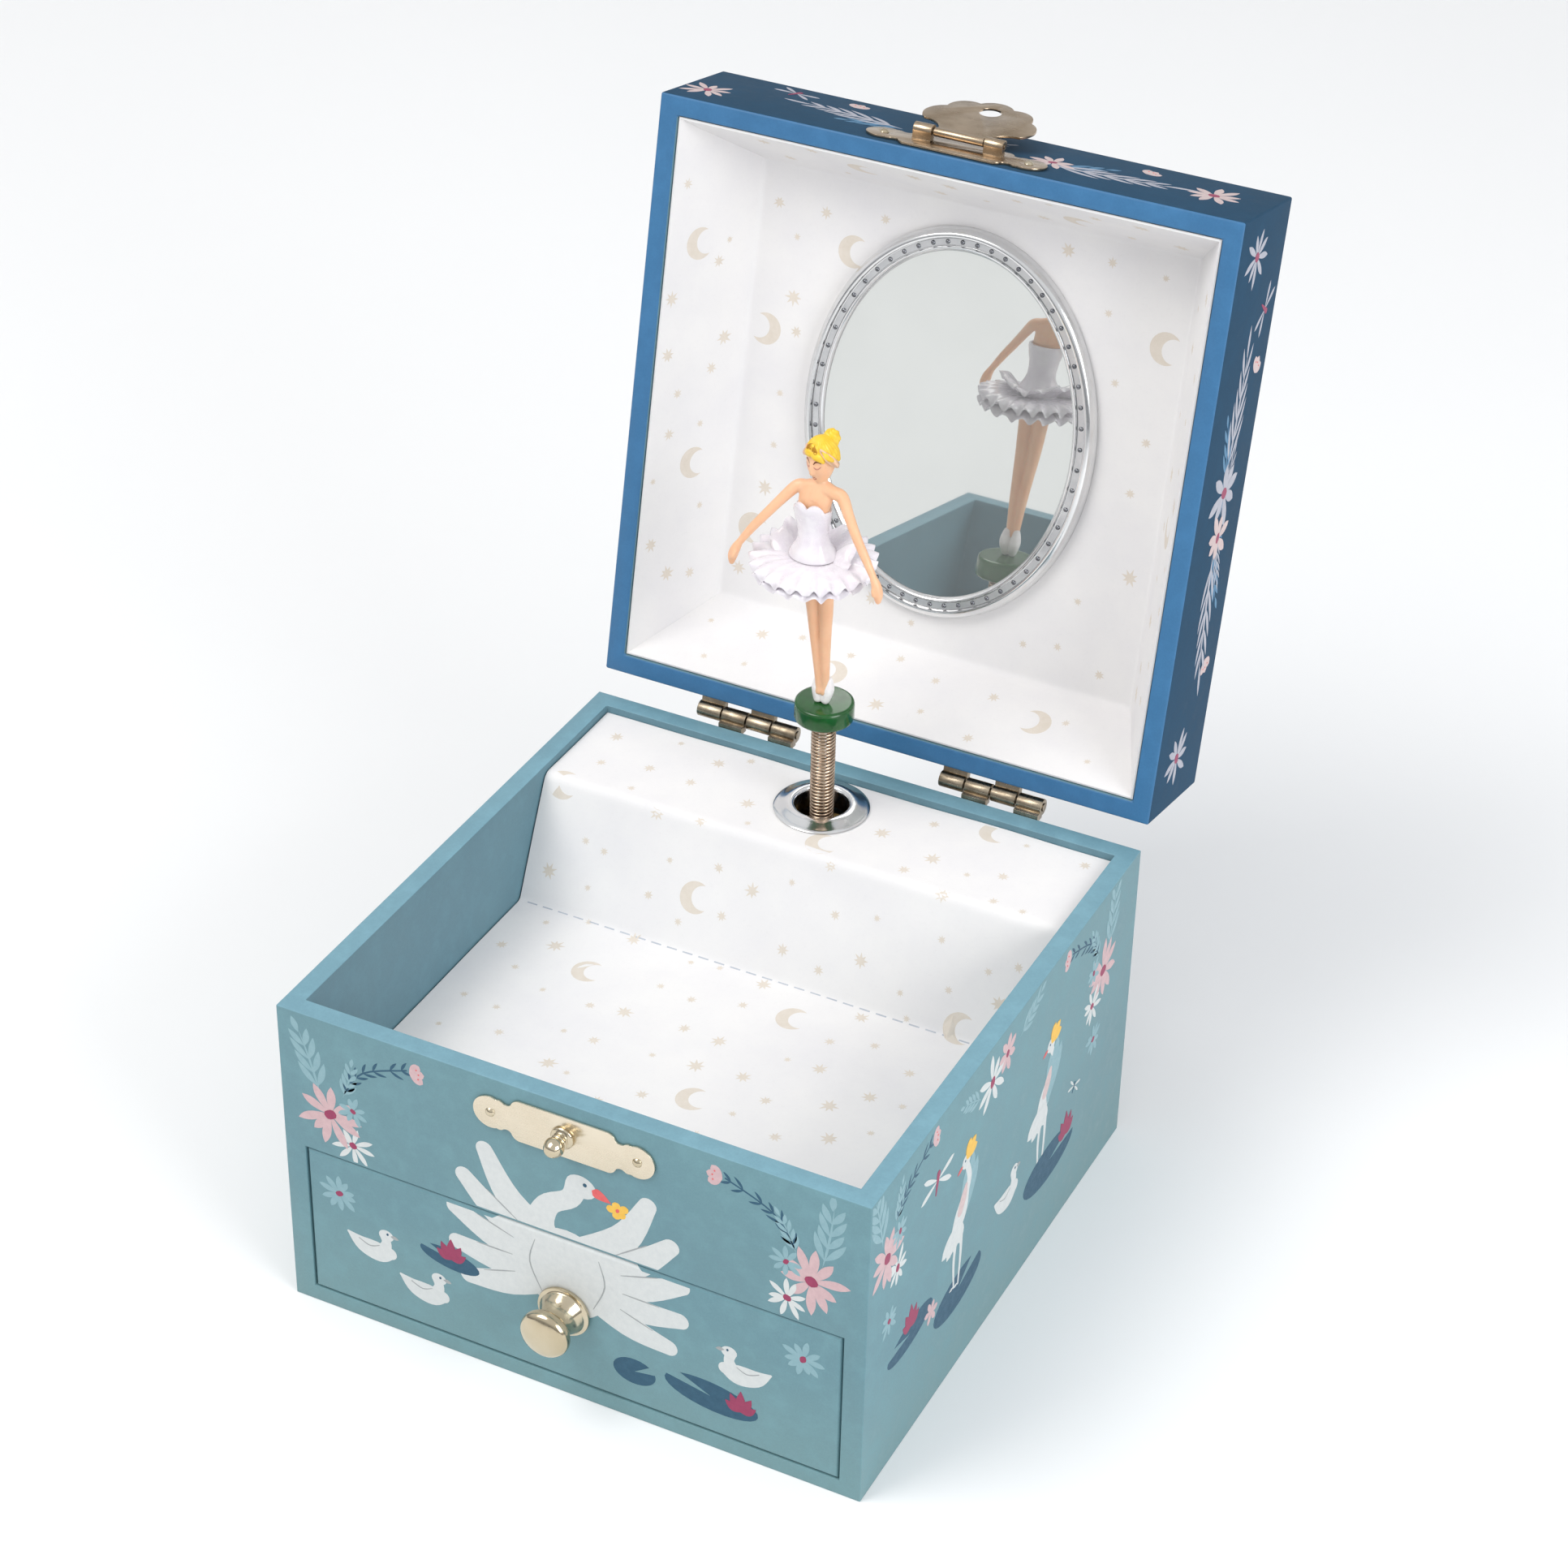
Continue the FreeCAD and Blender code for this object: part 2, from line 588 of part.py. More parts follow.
def top_bridge():
    """Bracket over the cylinder that carries the top pivots of the cylinder and the idler."""
    top = box(IDLER_X - 2.6, SPIN_X + 10, SPIN_Y - 3.2, BED_FRONT, BRIDGE_Z, BRIDGE_Z + TAB_T)
    flange = box(SPIN_X - 8, SPIN_X + 10, BED_FRONT - 1.0, BED_FRONT, BRIDGE_Z - BRIDGE_FLANGE_H, BRIDGE_Z)
    solid = top.fuse(flange)
    holes = [
        rod(1.5 + FIT, V(SPIN_X, SPIN_Y, BRIDGE_Z), Z_AXIS, TAB_T),
        rod(IDLER_ARBOR_R + FIT, V(IDLER_X, SPIN_Y, BRIDGE_Z), Z_AXIS, TAB_T),
    ]
    holes += [rod(STUB_R + 0.02, V(x, BED_FRONT - 1, BRIDGE_SCREW_Z), Y_AXIS, 1) for x in BRIDGE_SCREW_X]
    return solid.cut(holes)


def governor_bracket():
    """Arm from the bedplate to the front pivot of the worm shaft."""
    z0, z1 = WORM_Z - 3.0, WORM_Z + 3.0
    arm = box(-24.0, -23.0, GOVERNOR_FRONT, BED_FRONT, z0, z1)
    front = box(-24.0, WORM_X + 2.0, GOVERNOR_FRONT, GOVERNOR_FRONT + 1.0, z0, z1)
    foot = box(-24.0, -18.7, BED_FRONT - 1.0, BED_FRONT, z0, z1)
    x, z = GOVERNOR_SCREW
    holes = [
        rod(SHAFT_R + FIT, V(WORM_X, GOVERNOR_FRONT, WORM_Z), Y_AXIS, 1.0),
        rod(STUB_R + 0.02, V(x, BED_FRONT - 1, z), Y_AXIS, 1),
    ]
    return arm.fuse([front, foot]).cut(holes)


def slotted_screw(spot, inward, head_r, shank_r, length):
    """Cheese-head screw with a slot; the head stands out of the surface at spot."""
    height = head_r * 0.7
    items = [
        (0, -height),
        (head_r - 0.2, -height),
        (head_r, -height + 0.2),
        (head_r, 0),
        (shank_r, 0),
        (shank_r, length),
        (0, length),
    ]
    screw = turned(items, spot, inward)
    slot_w = 0.35 * head_r
    slot = Part.makeBox(2 * head_r + 1, slot_w, 0.6 * height, V(-head_r - 0.5, -slot_w / 2, -height))
    slot.Placement = FreeCAD.Placement(spot, FreeCAD.Rotation(Z_AXIS, inward))
    return screw.cut(slot)


def movement_screws():
    inward = Y_AXIS * -1
    length = WALL + BED_T
    return Part.makeCompound([slotted_screw(V(x, HALF, z), inward, 1.9, 1.0, length) for x, z in BED_SCREWS])


def frame_screws():
    comb_x = sum(COMB_X) / 2
    screws = [slotted_screw(V(comb_x, COMB_Y, z), Y_AXIS, 1.5, STUB_R, 5.5) for z in COMB_SCREW_Z]
    foot_y = BED_FRONT - 1.0
    for x in BRIDGE_SCREW_X:
        screws.append(slotted_screw(V(x, foot_y, BRIDGE_SCREW_Z), Y_AXIS, 1.3, STUB_R, 2.4))
    screws.append(slotted_screw(V(GOVERNOR_SCREW[0], foot_y, GOVERNOR_SCREW[1]), Y_AXIS, 1.3, STUB_R, 2.4))
    return Part.makeCompound(screws)


# ---- movement: moving parts ----
def spring_barrel():
    """Cup round the mainspring, open to the bedplate, with a ring of face teeth on its front."""
    centre = V(SPIN_X, BARREL_FRONT, BARREL_Z)
    depth = BARREL_BACK - BARREL_FRONT
    cup = rod(BARREL_R, centre, Y_AXIS, depth)
    cup = cup.cut(rod(BARREL_R - 0.8, centre + V(0, 0.9, 0), Y_AXIS, depth))
    teeth = []
    for i in range(CROWN_TEETH):
        half = 0.27
        tooth = box(-half, half, CROWN_TIP_Y, BARREL_FRONT + 0.2, *CROWN_R)
        tooth.translate(V(SPIN_X, 0, BARREL_Z))
        tooth.rotate(centre, Y_AXIS, 360.0 * i / CROWN_TEETH)
        teeth.append(tooth)
    cup = cup.fuse(teeth)
    return cup.cut(rod(KEY_R + FIT, V(SPIN_X, CROWN_TIP_Y, BARREL_Z), Y_AXIS, 6))


def mainspring():
    """Spiral strip of half turns, each of a larger radius than the last."""
    turns = 12
    strip = 0.3
    inner, outer = 2.6, BARREL_R - 1.2
    step = (outer - inner) / turns

    def arcs(start_r):
        edges = []
        x = -start_r
        up = 1
        r = start_r
        for _ in range(turns):
            end = x + up * (2 * r + step)
            top = (x + end) / 2
            edges.append(((top, up * (abs(end - x) / 2)), (end, 0)))
            x = end
            r = abs(end) if up > 0 else r + step
            up = -up
        return edges

    outward = arcs(inner + strip)
    inward = arcs(inner)
    back = []
    points = [(-inner, 0)] + [edge[1] for edge in inward]
    for i in range(len(inward) - 1, -1, -1):
        back.append((inward[i][0], points[i]))
    items = [(-inner - strip, 0)] + outward + [points[-1]] + back
    y0 = BARREL_FRONT + 1.1
    width = BARREL_BACK - 0.2 - y0
    return plate(items, lambda x, z: V(SPIN_X + x, y0, BARREL_Z + z), V(0, width, 0))


def winding_parts():
    end_y = HALF + 4.6
    arbor = rod(KEY_R, V(SPIN_X, BARREL_FRONT - 0.8, BARREL_Z), Y_AXIS, end_y - BARREL_FRONT + 0.8)
    collar = rod(KEY_R + 0.8, V(SPIN_X, BARREL_FRONT - 0.9, BARREL_Z), Y_AXIS, 0.7)
    hook = rod(KEY_R + 0.7, V(SPIN_X, BARREL_FRONT + 1.1, BARREL_Z), Y_AXIS, 3.0)
    arbor = arbor.fuse([collar, hook])
    hub = [
        (KEY_R + 0.02, 0),
        (2.7, 0),
        (2.7, 1.2),
        ((2.2, 3.0), (2.4, 5.2)),
        dome(2.4, 5.2, 1.0),
        (0, 4.1),
        (KEY_R + 0.02, 4.1),
    ]
    base = V(SPIN_X, HALF + 0.6, BARREL_Z)
    key = turned(hub, base, Y_AXIS)
    wing = [
        (0, 3.0),
        (1.6, 3.6),
        ((9.6, 2.6), (10.6, 8.6)),
        ((8.8, 13.6), (3.6, 11.2)),
        ((1.9, 9.8), (0, 9.6)),
    ]
    wings = plate(
        mirrored(wing)[:-1],
        lambda u, v: base + V(u, v, -0.75),
        V(0, 0, 1.5),
    )
    eyes = [rod(2.0, base + V(x, 8.2, -2), Z_AXIS, 4) for x in (-6.2, 6.2)]
    socket = rod(KEY_R + 0.02, base, Y_AXIS, 4.1)
    key = key.fuse(wings).cut(eyes + [socket])
    ratchet_y = BARREL_BACK + 0.2
    points = []
    for i in range(RATCHET_TEETH):
        a = 2 * math.pi * i / RATCHET_TEETH
        points.append((6.0 * math.cos(a), 6.0 * math.sin(a)))
        points.append((4.9 * math.cos(a), 4.9 * math.sin(a)))
    wheel = plate(points, lambda x, z: V(SPIN_X + x, ratchet_y, BARREL_Z + z), V(0, 0.8, 0))
    wheel = wheel.cut(rod(KEY_R + 0.02, V(SPIN_X, ratchet_y, BARREL_Z), Y_AXIS, 0.8))
    return {"winding_arbor": arbor, "winding_key": key, "ratchet_wheel": wheel}


def ratchet_click():
    """Spring-steel pawl on the bedplate's post, its nose in a tooth gap of the ratchet wheel."""
    px, pz = CLICK_PIVOT
    nose_a = math.radians(-16)
    nose = (SPIN_X + 6.15 * math.cos(nose_a), BARREL_Z + 6.15 * math.sin(nose_a))
    heel = (SPIN_X + 7.4 * math.cos(nose_a), BARREL_Z + 7.4 * math.sin(nose_a))
    items = [
        (px - 1.9, pz - 0.3),
        ((px, pz - 1.9), (px + 1.9, pz)),
        ((px, pz + 1.9), (px - 1.7, pz + 0.9)),
        nose,
        heel,
    ]
    y0 = BARREL_BACK + 0.25
    solid = plate(items, lambda x, z: V(x, y0, z), V(0, 0.7, 0))
    return solid.cut(rod(1.0 + FIT, V(px, y0, pz), Y_AXIS, 0.7))


def cylinder_parts():
    axis = V(SPIN_X, SPIN_Y, 0)
    pinion_z = BARREL_Z + CROWN_R[0] - 0.2
    pinion = spur(PINION_TEETH, 1.7, 2.95, 0.6, 0.42, 3.0, math.pi / 2 + math.pi / PINION_TEETH)
    pinion.translate(axis + V(0, 0, pinion_z))
    arbor = pinion.fuse([
        rod(ARBOR_R, axis + V(0, 0, pinion_z), Z_AXIS, WHEEL_Z[1] - pinion_z),
        rod(1.5, axis + V(0, 0, WHEEL_Z[1]), Z_AXIS, SPRING_Z[0] - 0.4 - WHEEL_Z[1]),
        rod(SPRING_BORE - FIT, axis + V(0, 0, SPRING_Z[0] - 0.4), Z_AXIS, 6.0),
    ])
    z0, z1 = CYL_Z
    sleeve = rod(CYL_R, axis + V(0, 0, z0), Z_AXIS, z1 - z0)
    pitch = (z1 - z0) / NOTES
    pins = []
    for note in range(NOTES):
        for k in range(PINS_PER_NOTE):
            a = math.radians(15 + (note * 83 + k * 67 + (note * k * 29) % 31) % 330)
            out = V(math.cos(a), math.sin(a), 0)
            start = axis + out * (CYL_R - 0.6) + V(0, 0, z0 + (note + 0.5) * pitch)
            pins.append(rod(0.22, start, out, 0.6 + PIN_OUT))
    sleeve = sleeve.fuse(pins).cut(rod(ARBOR_R + 0.02, axis + V(0, 0, z0), Z_AXIS, z1 - z0))
    pitch_r = MODULE * WHEEL_TEETH / 2
    wheel = spur(WHEEL_TEETH, pitch_r - 0.45, pitch_r + 0.33, 0.55, 0.3, WHEEL_Z[1] - WHEEL_Z[0])
    wheel.translate(axis + V(0, 0, WHEEL_Z[0]))
    wheel = wheel.cut(rod(ARBOR_R + 0.02, axis + V(0, 0, WHEEL_Z[0]), Z_AXIS, 2))
    return {"cylinder_arbor": arbor, "pin_cylinder": sleeve, "cylinder_wheel": wheel}


def idler_wheel():
    """Arbor with a pinion for the cylinder wheel and a wheel for the worm."""
    axis = V(IDLER_X, SPIN_Y, 0)
    length = BRIDGE_Z + TAB_T + 0.8 - IDLER_BEARING_Z
    arbor = rod(IDLER_ARBOR_R, axis + V(0, 0, IDLER_BEARING_Z - 0.4), Z_AXIS, length)
    pitch_r = MODULE * IDLER_TEETH / 2
    pinion = spur(IDLER_TEETH, pitch_r - 0.45, pitch_r + 0.33, 0.5, 0.28, 1.6, math.pi / IDLER_TEETH)
    pinion.translate(axis + V(0, 0, WHEEL_Z[0] - 0.2))
    wheel = spur(WORM_WHEEL_TEETH, WORM_WHEEL_R - 0.5, WORM_WHEEL_R + 0.3, 0.55, 0.36, 1.0)
    wheel.translate(axis + V(0, 0, WORM_Z - 0.5))
    return arbor.fuse([pinion, wheel])


def governor_worm():
    """Worm and air-brake fan on one shaft; the fan's drag keeps the tune at an even speed."""
    start = V(WORM_X, GOVERNOR_FRONT - 0.6, WORM_Z)
    shaft = rod(SHAFT_R, start, Y_AXIS, BED_FRONT + 1.0 - start.y)
    turns = 4
    length = turns * WORM_PITCH
    y0 = SPIN_Y - length / 2
    core_r = WORM_R - 0.5
    core = rod(core_r, V(WORM_X, y0 - 0.6, WORM_Z), Y_AXIS, length + 1.2)
    helix = Part.makeHelix(WORM_PITCH, length, core_r)
    profile = Part.makePolygon([
        V(core_r - 0.15, 0, -0.3),
        V(WORM_R + 0.35, 0, -0.14),
        V(WORM_R + 0.35, 0, 0.14),
        V(core_r - 0.15, 0, 0.3),
        V(core_r - 0.15, 0, -0.3),
    ])
    thread = Part.Wire(helix).makePipeShell([profile], True, True)
    thread.Placement = FreeCAD.Placement(V(WORM_X, y0, WORM_Z), FreeCAD.Rotation(Z_AXIS, Y_AXIS))
    hub = rod(1.1, V(WORM_X, 36.0, WORM_Z), Y_AXIS, 4.4)
    fan = []
    for side in (-1, 1):
        x = sorted((WORM_X, WORM_X + side * FAN_R))
        wing = box(*x, 36.2, 40.2, WORM_Z - 0.2, WORM_Z + 0.2)
        fan.append(wing)
    return shaft.fuse([core, thread, hub] + fan)


# ---- dancer ----
def spring_tube():
    """The close-wound spring that carries the dancer, as the tube that its coils fill."""
    axis = V(SPIN_X, SPIN_Y, SPRING_Z[0])
    length = SPRING_Z[1] - SPRING_Z[0]
    return rod(SPRING_R, axis, Z_AXIS, length).cut(rod(SPRING_BORE, axis, Z_AXIS, length))


def figure_stand():
    z0, z1 = STAND_Z
    height = z1 - z0
    items = [
        (0, -2.2),
        (SPRING_BORE - FIT, -2.2),
        (SPRING_BORE - FIT, 0),
        (STAND_R - 0.4, 0),
        ((STAND_R - 0.1, 0.1), (STAND_R, 0.4)),
        (STAND_R, height - 0.6),
        ((STAND_R - 0.18, height - 0.18), (STAND_R - 0.6, height)),
        (0, height),
    ]
    return turned(items, V(SPIN_X, SPIN_Y, z0), Z_AXIS)


def ballerina_figure():
    """Moulded dancer on her toes, arms down and out, in a short flared skirt."""

    def at(x, y, z):
        return V(SPIN_X + x, SPIN_Y + y, SOLE_Z + z)

    def limb(start, end, r0, r1):
        direction = end - start
        return Part.makeCone(r0, r1, direction.Length, start, direction)

    pieces = [
        rod(1.6, at(-1.1, -0.6, 0), Z_AXIS, 1.2),
        rod(1.6, at(1.1, -0.6, 0), Z_AXIS, 1.2),
        limb(at(-1.1, -0.6, 0.4), at(-2.6, -1.6, 31), 1.2, 1.9),
        limb(at(0.9, -0.6, 0.4), at(-0.6, -1.6, 31), 1.2, 1.9),
        limb(at(-2.2, -2.3, 33.2), at(-2.3, -2.4, 37.5), 4.4, 3.2),
        limb(at(-2.3, -2.4, 37), at(-2.5, -2.2, 45), 3.2, 3.6),
        limb(at(-2.3, -2.1, 44), at(-1.5, -1.7, 49), 3.4, 1.2),
        limb(at(-1.5, -1.6, 46), at(-1.2, -1.5, 52.5), 1.5, 1.4),
    ]
    skirt = [
        (0, -1.0),
        (10.8, -2.0),
        ((12.4, -0.6), (12.0, 1.2)),
        ((8.0, 1.0), (4.7, 2.2)),
        (0, 2.2),
    ]
    pieces.append(turned(skirt, at(-2.1, -2.2, 31.6), Z_AXIS))
    for side in (-1, 1):
        shoulder = at(-1.4 + side * 4.6, -1.6, 47.4)
        elbow = at(-1.4 + side * 9.6, -5.0, 41.2)
        wrist = at(-1.4 + side * 14.2, -6.8, 34.8)
        hand = at(-1.4 + side * 15.2, -7.1, 30.8)
        pieces.append(Part.makeSphere(1.4, shoulder))
        pieces.append(limb(shoulder, at(-1.4, -1.6, 47), 1.35, 1.6))
        pieces.append(limb(shoulder, elbow, 1.35, 1.05))
        pieces.append(Part.makeSphere(1.1, elbow))
        pieces.append(limb(elbow, wrist, 1.05, 0.8))
        pieces.append(Part.makeSphere(0.9, wrist))
        pieces.append(limb(wrist, hand, 0.85, 0.9))
        pieces.append(Part.makeSphere(1.0, hand))
    pieces.append(Part.makeSphere(4.2, at(-1.2, -1.8, HEAD_Z - SOLE_Z)))
    pieces.append(Part.makeSphere(1.9, at(-0.5, 0.6, HEAD_Z - SOLE_Z + 2.8)))
    return pieces[0].fuse(pieces[1:])


# ---- assembly ----
def base_nails():
    nails = [nail(V(x, -HALF, CATCH_Z), Y_AXIS, PLATE_T) for x in (-PLATE_NAIL_X, PLATE_NAIL_X)]
    for x_middle in (-HINGE_X, HINGE_X):
        nails += [nail(V(x, HALF, z), Y_AXIS * -1, LEAF_T) for x, z in leaf_nail_spots(x_middle, -1)]
    return Part.makeCompound(nails)


def lid_nails():
    nails = [nail(V(x, -HALF, HASP_PLATE_Z), Y_AXIS, PLATE_T) for x in (-PLATE_NAIL_X, PLATE_NAIL_X)]
    for x_middle in (-HINGE_X, HINGE_X):
        nails += [nail(V(x, HALF, z), Y_AXIS * -1, LEAF_T) for x, z in leaf_nail_spots(x_middle, 1)]
    return Part.makeCompound(nails)


def hasp_pin():
    half = EAR_OUTER + 0.2
    return rod(HASP_PIN_R, V(-half, HASP_PIN_Y, HASP_PIN_Z), X_AXIS, 2 * half)


def all_parts():
    parts = {}
    parts.update(base_panels())
    parts.update(tray_parts())
    parts["shelf_grommet"] = shelf_grommet()
    parts.update(catch_parts())
    parts["base_fixing_nails"] = base_nails()
    parts["hinge_pins"] = hinge_pins()
    lid = lid_parts()
    lid.update(mirror_parts())
    lid["hasp_plate"] = hasp_plate()
    lid["hasp_pin"] = hasp_pin()
    lid["hasp_flap"] = hasp_flap()
    lid["lid_fixing_nails"] = lid_nails()
    for side, x in (("left", -HINGE_X), ("right", HINGE_X)):
        parts["hinge_" + side + "_base_leaf"] = hinge_leaf(x, -1)
        lid["hinge_" + side + "_lid_leaf"] = hinge_leaf(x, 1)
    for name, shape in lid.items():
        parts[name] = at_lid(shape)
    parts.update(drawer_parts())
    parts["movement_bedplate"] = bedplate()
    parts["movement_screws"] = movement_screws()
    parts["frame_screws"] = frame_screws()
    parts["comb"] = comb()
    parts["top_bridge"] = top_bridge()
    parts["governor_bracket"] = governor_bracket()
    parts["spring_barrel"] = spring_barrel()
    parts["mainspring"] = mainspring()
    parts.update(winding_parts())
    parts["ratchet_click"] = ratchet_click()
    parts.update(cylinder_parts())
    parts["idler_wheel"] = idler_wheel()
    parts["governor_worm"] = governor_worm()
    parts["ballerina_spring"] = spring_tube()
    parts["figure_stand"] = figure_stand()
    parts["ballerina_figure"] = ballerina_figure()
    return parts


os.makedirs("parts", exist_ok=True)
for name, shape in all_parts().items():
    shape.exportStep("parts/" + name + ".step")
    print(name, len(shape.Solids), round(shape.Volume, 2), shape.isValid())
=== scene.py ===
import json
import math
import random

import bmesh
import bpy
from mathutils import Matrix, Vector


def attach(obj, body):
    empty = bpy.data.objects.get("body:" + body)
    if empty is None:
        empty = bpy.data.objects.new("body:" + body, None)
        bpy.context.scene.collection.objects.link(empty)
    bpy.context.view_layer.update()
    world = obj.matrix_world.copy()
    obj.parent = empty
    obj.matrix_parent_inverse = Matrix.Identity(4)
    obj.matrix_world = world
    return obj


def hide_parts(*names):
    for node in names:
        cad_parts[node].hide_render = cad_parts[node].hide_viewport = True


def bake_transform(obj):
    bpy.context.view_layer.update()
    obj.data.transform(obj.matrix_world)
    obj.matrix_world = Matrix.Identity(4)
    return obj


# Wind-up musical jewellery box.  Pieces are built in millimetres and turned into metres at the end.
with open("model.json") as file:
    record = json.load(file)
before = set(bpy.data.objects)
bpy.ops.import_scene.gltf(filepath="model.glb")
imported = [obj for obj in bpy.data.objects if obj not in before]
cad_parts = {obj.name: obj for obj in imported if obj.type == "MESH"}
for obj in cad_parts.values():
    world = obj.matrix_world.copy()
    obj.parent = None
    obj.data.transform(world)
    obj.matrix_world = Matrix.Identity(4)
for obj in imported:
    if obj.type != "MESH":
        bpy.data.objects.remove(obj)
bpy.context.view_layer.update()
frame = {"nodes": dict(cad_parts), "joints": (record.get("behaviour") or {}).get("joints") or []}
scene = bpy.context.scene
MM = 0.001
TAU = 2 * math.pi
X_AXIS = Vector((1, 0, 0))
Y_AXIS = Vector((0, 1, 0))
Z_AXIS = Vector((0, 0, 1))
FLAT = Matrix.Identity(4)


# ---- places taken from the frame ----
def span(node, place=FLAT):
    """Lowest and highest corner of a CAD node in millimetres, seen through a placement."""
    points = [place @ (v.co / MM) for v in frame["nodes"][node].data.vertices]
    low = Vector([min(p[i] for p in points) for i in range(3)])
    high = Vector([max(p[i] for p in points) for i in range(3)])
    return low, high


joints = {joint["name"]: joint for joint in frame["joints"]}
HINGE = Vector(joints["lid_hinge"]["pos_m"]) / MM
LID_SWING = math.radians(joints["lid_hinge"]["range_deg"][1])
# Takes a point of the closed lid to its open place.
OPENED = Matrix.Translation(HINGE) @ Matrix.Rotation(-LID_SWING, 4, "X") @ Matrix.Translation(-HINGE)
CLOSED = OPENED.inverted()
SPIN = Vector(joints["dancer_spin"]["pos_m"]) / MM
rng = random.Random(7)

front_low, front_high = span("base_front_panel")
HALF = front_high.x
BASE_H = front_high.z
WALL = front_high.y - front_low.y
INNER = HALF - WALL
drawer_low, drawer_high = span("drawer_front")
GAP = 0.3
LID_Z = span("lid_front_panel", CLOSED)[0].z
LID_TOP = span("lid_top_panel", CLOSED)[1].z
board_top = span("tray_floor_board")[1].z
# Papered faces stay this far inside the frame's, so that the prints on them do not stand proud of it.
PAPER_GAP = 0.08
PAPER_ROUND = 0.45
PAPER_HALF = HALF - PAPER_GAP
CARD = 0.5
TRAY_Z = board_top + CARD
SHELF_Z = span("tray_lining")[1].z
CREASE_Y = span("tray_floor_board")[1].y
SHELF_EDGE_Y = span("shelf_board")[0].y - 1.0
back_low, back_high = span("lid_lining", CLOSED)
LINING_BACK_Z = back_high.z - CARD
LINING_BACK_HALF = 46.0
mirror_low, mirror_high = span("mirror_frame", CLOSED)
stand_low, stand_high = span("figure_stand")
SOLE_Z = stand_high.z
spring_low, spring_high = span("ballerina_spring")


# ---- colours and materials ----
def srgb(r, g, b):
    """Linear colour from display values between 0 and 255."""
    out = []
    for value in (r, g, b):
        x = value / 255
        out.append(x / 12.92 if x <= 0.04045 else ((x + 0.055) / 1.055) ** 2.4)
    return (*out, 1.0)


def add(tree, kind, inputs=None, **settings):
    """New shader node; an input is a value, or the output socket to link to it."""
    node = tree.nodes.new("ShaderNode" + kind)
    for key, value in settings.items():
        setattr(node, key, value)
    for key, value in (inputs or {}).items():
        if isinstance(value, bpy.types.NodeSocket):
            tree.links.new(value, node.inputs[key])
        else:
            node.inputs[key].default_value = value
    return node


def mix(tree, factor, a, b, blend="MIX"):
    return add(tree, "Mix", {0: factor, 6: a, 7: b}, data_type="RGBA", blend_type=blend).outputs[2]


def noise(tree, where, scale, detail=3.0, rough=0.5):
    inputs = {"Vector": where, "Scale": scale, "Detail": detail, "Roughness": rough}
    return add(tree, "TexNoise", inputs).outputs["Fac"]


def ramp(tree, value, low, high, to_low=0.0, to_high=1.0):
    inputs = {"Value": value, 1: low, 2: high, 3: to_low, 4: to_high}
    return add(tree, "MapRange", inputs).outputs[0]


def material(name, **shader):
    """New material; returns it, its node tree and the object coordinates."""
    made = bpy.data.materials.new(name)
    made.use_nodes = True
    tree = made.node_tree
    for key, value in shader.items():
        tree.nodes["Principled BSDF"].inputs[key.replace("_", " ")].default_value = value
    where = add(tree, "TexCoord").outputs["Object"]
    return made, tree, where


def finish_shader(tree, colour=None, roughness=None, height=None, bump=0.2, depth=0.00005):
    bsdf = tree.nodes["Principled BSDF"]
    if colour is not None:
        tree.links.new(colour, bsdf.inputs["Base Color"])
    if roughness is not None:
        tree.links.new(roughness, bsdf.inputs["Roughness"])
    if height is not None:
        raised = add(tree, "Bump", {"Height": height, "Strength": bump, "Distance": depth})
        tree.links.new(raised.outputs["Normal"], bsdf.inputs["Normal"])


def printed_paper(name, tone, other, shade=None, rough=0.46, gloss=0.4):
    """Satin printed paper: soft clouds of two inks, fine print grain and a slightly uneven surface."""
    coat = {"Coat_Weight": 0.3 * gloss, "Coat_Roughness": 0.35}
    made, tree, where = material(name, Specular_IOR_Level=gloss, **coat)
    cloud = ramp(tree, noise(tree, where, 22, 4, 0.6), 0.36, 0.66)
    colour = mix(tree, cloud, srgb(*tone), srgb(*other))
    if shade:
        height = add(tree, "SeparateXYZ", {0: where}).outputs[2]
        colour = mix(tree, ramp(tree, height, 0.03, 0.0), colour, srgb(*shade))
    grain = noise(tree, where, 2600, 2, 0.7)
    colour = mix(tree, ramp(tree, grain, 0.35, 0.75, 0.0, 0.16), colour, srgb(235, 240, 240), "SOFT_LIGHT")
    strokes = noise(tree, where, 240, 5, 0.65)
    lighter = srgb(*[v * 1.12 + 8 for v in tone])
    colour = mix(tree, ramp(tree, strokes, 0.45, 0.7, 0.0, 0.3), colour, lighter)
    finish_shader(tree, colour, ramp(tree, strokes, 0.3, 0.7, rough - 0.05, rough + 0.08), grain, 0.10)
    return made


def card(name, tone, other, fibre=0.25, rough=0.75):
    """Matt card or board with fibres and a pressed linen-like grain."""
    made, tree, where = material(name, Specular_IOR_Level=0.25)
    cloud = noise(tree, where, 60, 5, 0.6)
    colour = mix(tree, ramp(tree, cloud, 0.35, 0.7), srgb(*tone), srgb(*other))
    fine = noise(tree, where, 1500, 4, 0.7)
    coarse = noise(tree, where, 420, 3, 0.6)
    both = add(tree, "Math", {0: fine, 1: coarse}, operation="ADD").outputs[0]
    colour = mix(tree, ramp(tree, fine, 0.55, 0.8, 0.0, fibre), colour, srgb(*[v * 0.82 for v in tone]))
    finish_shader(tree, colour, ramp(tree, fine, 0.3, 0.7, rough - 0.08, rough + 0.08), both, 0.22)
    return made


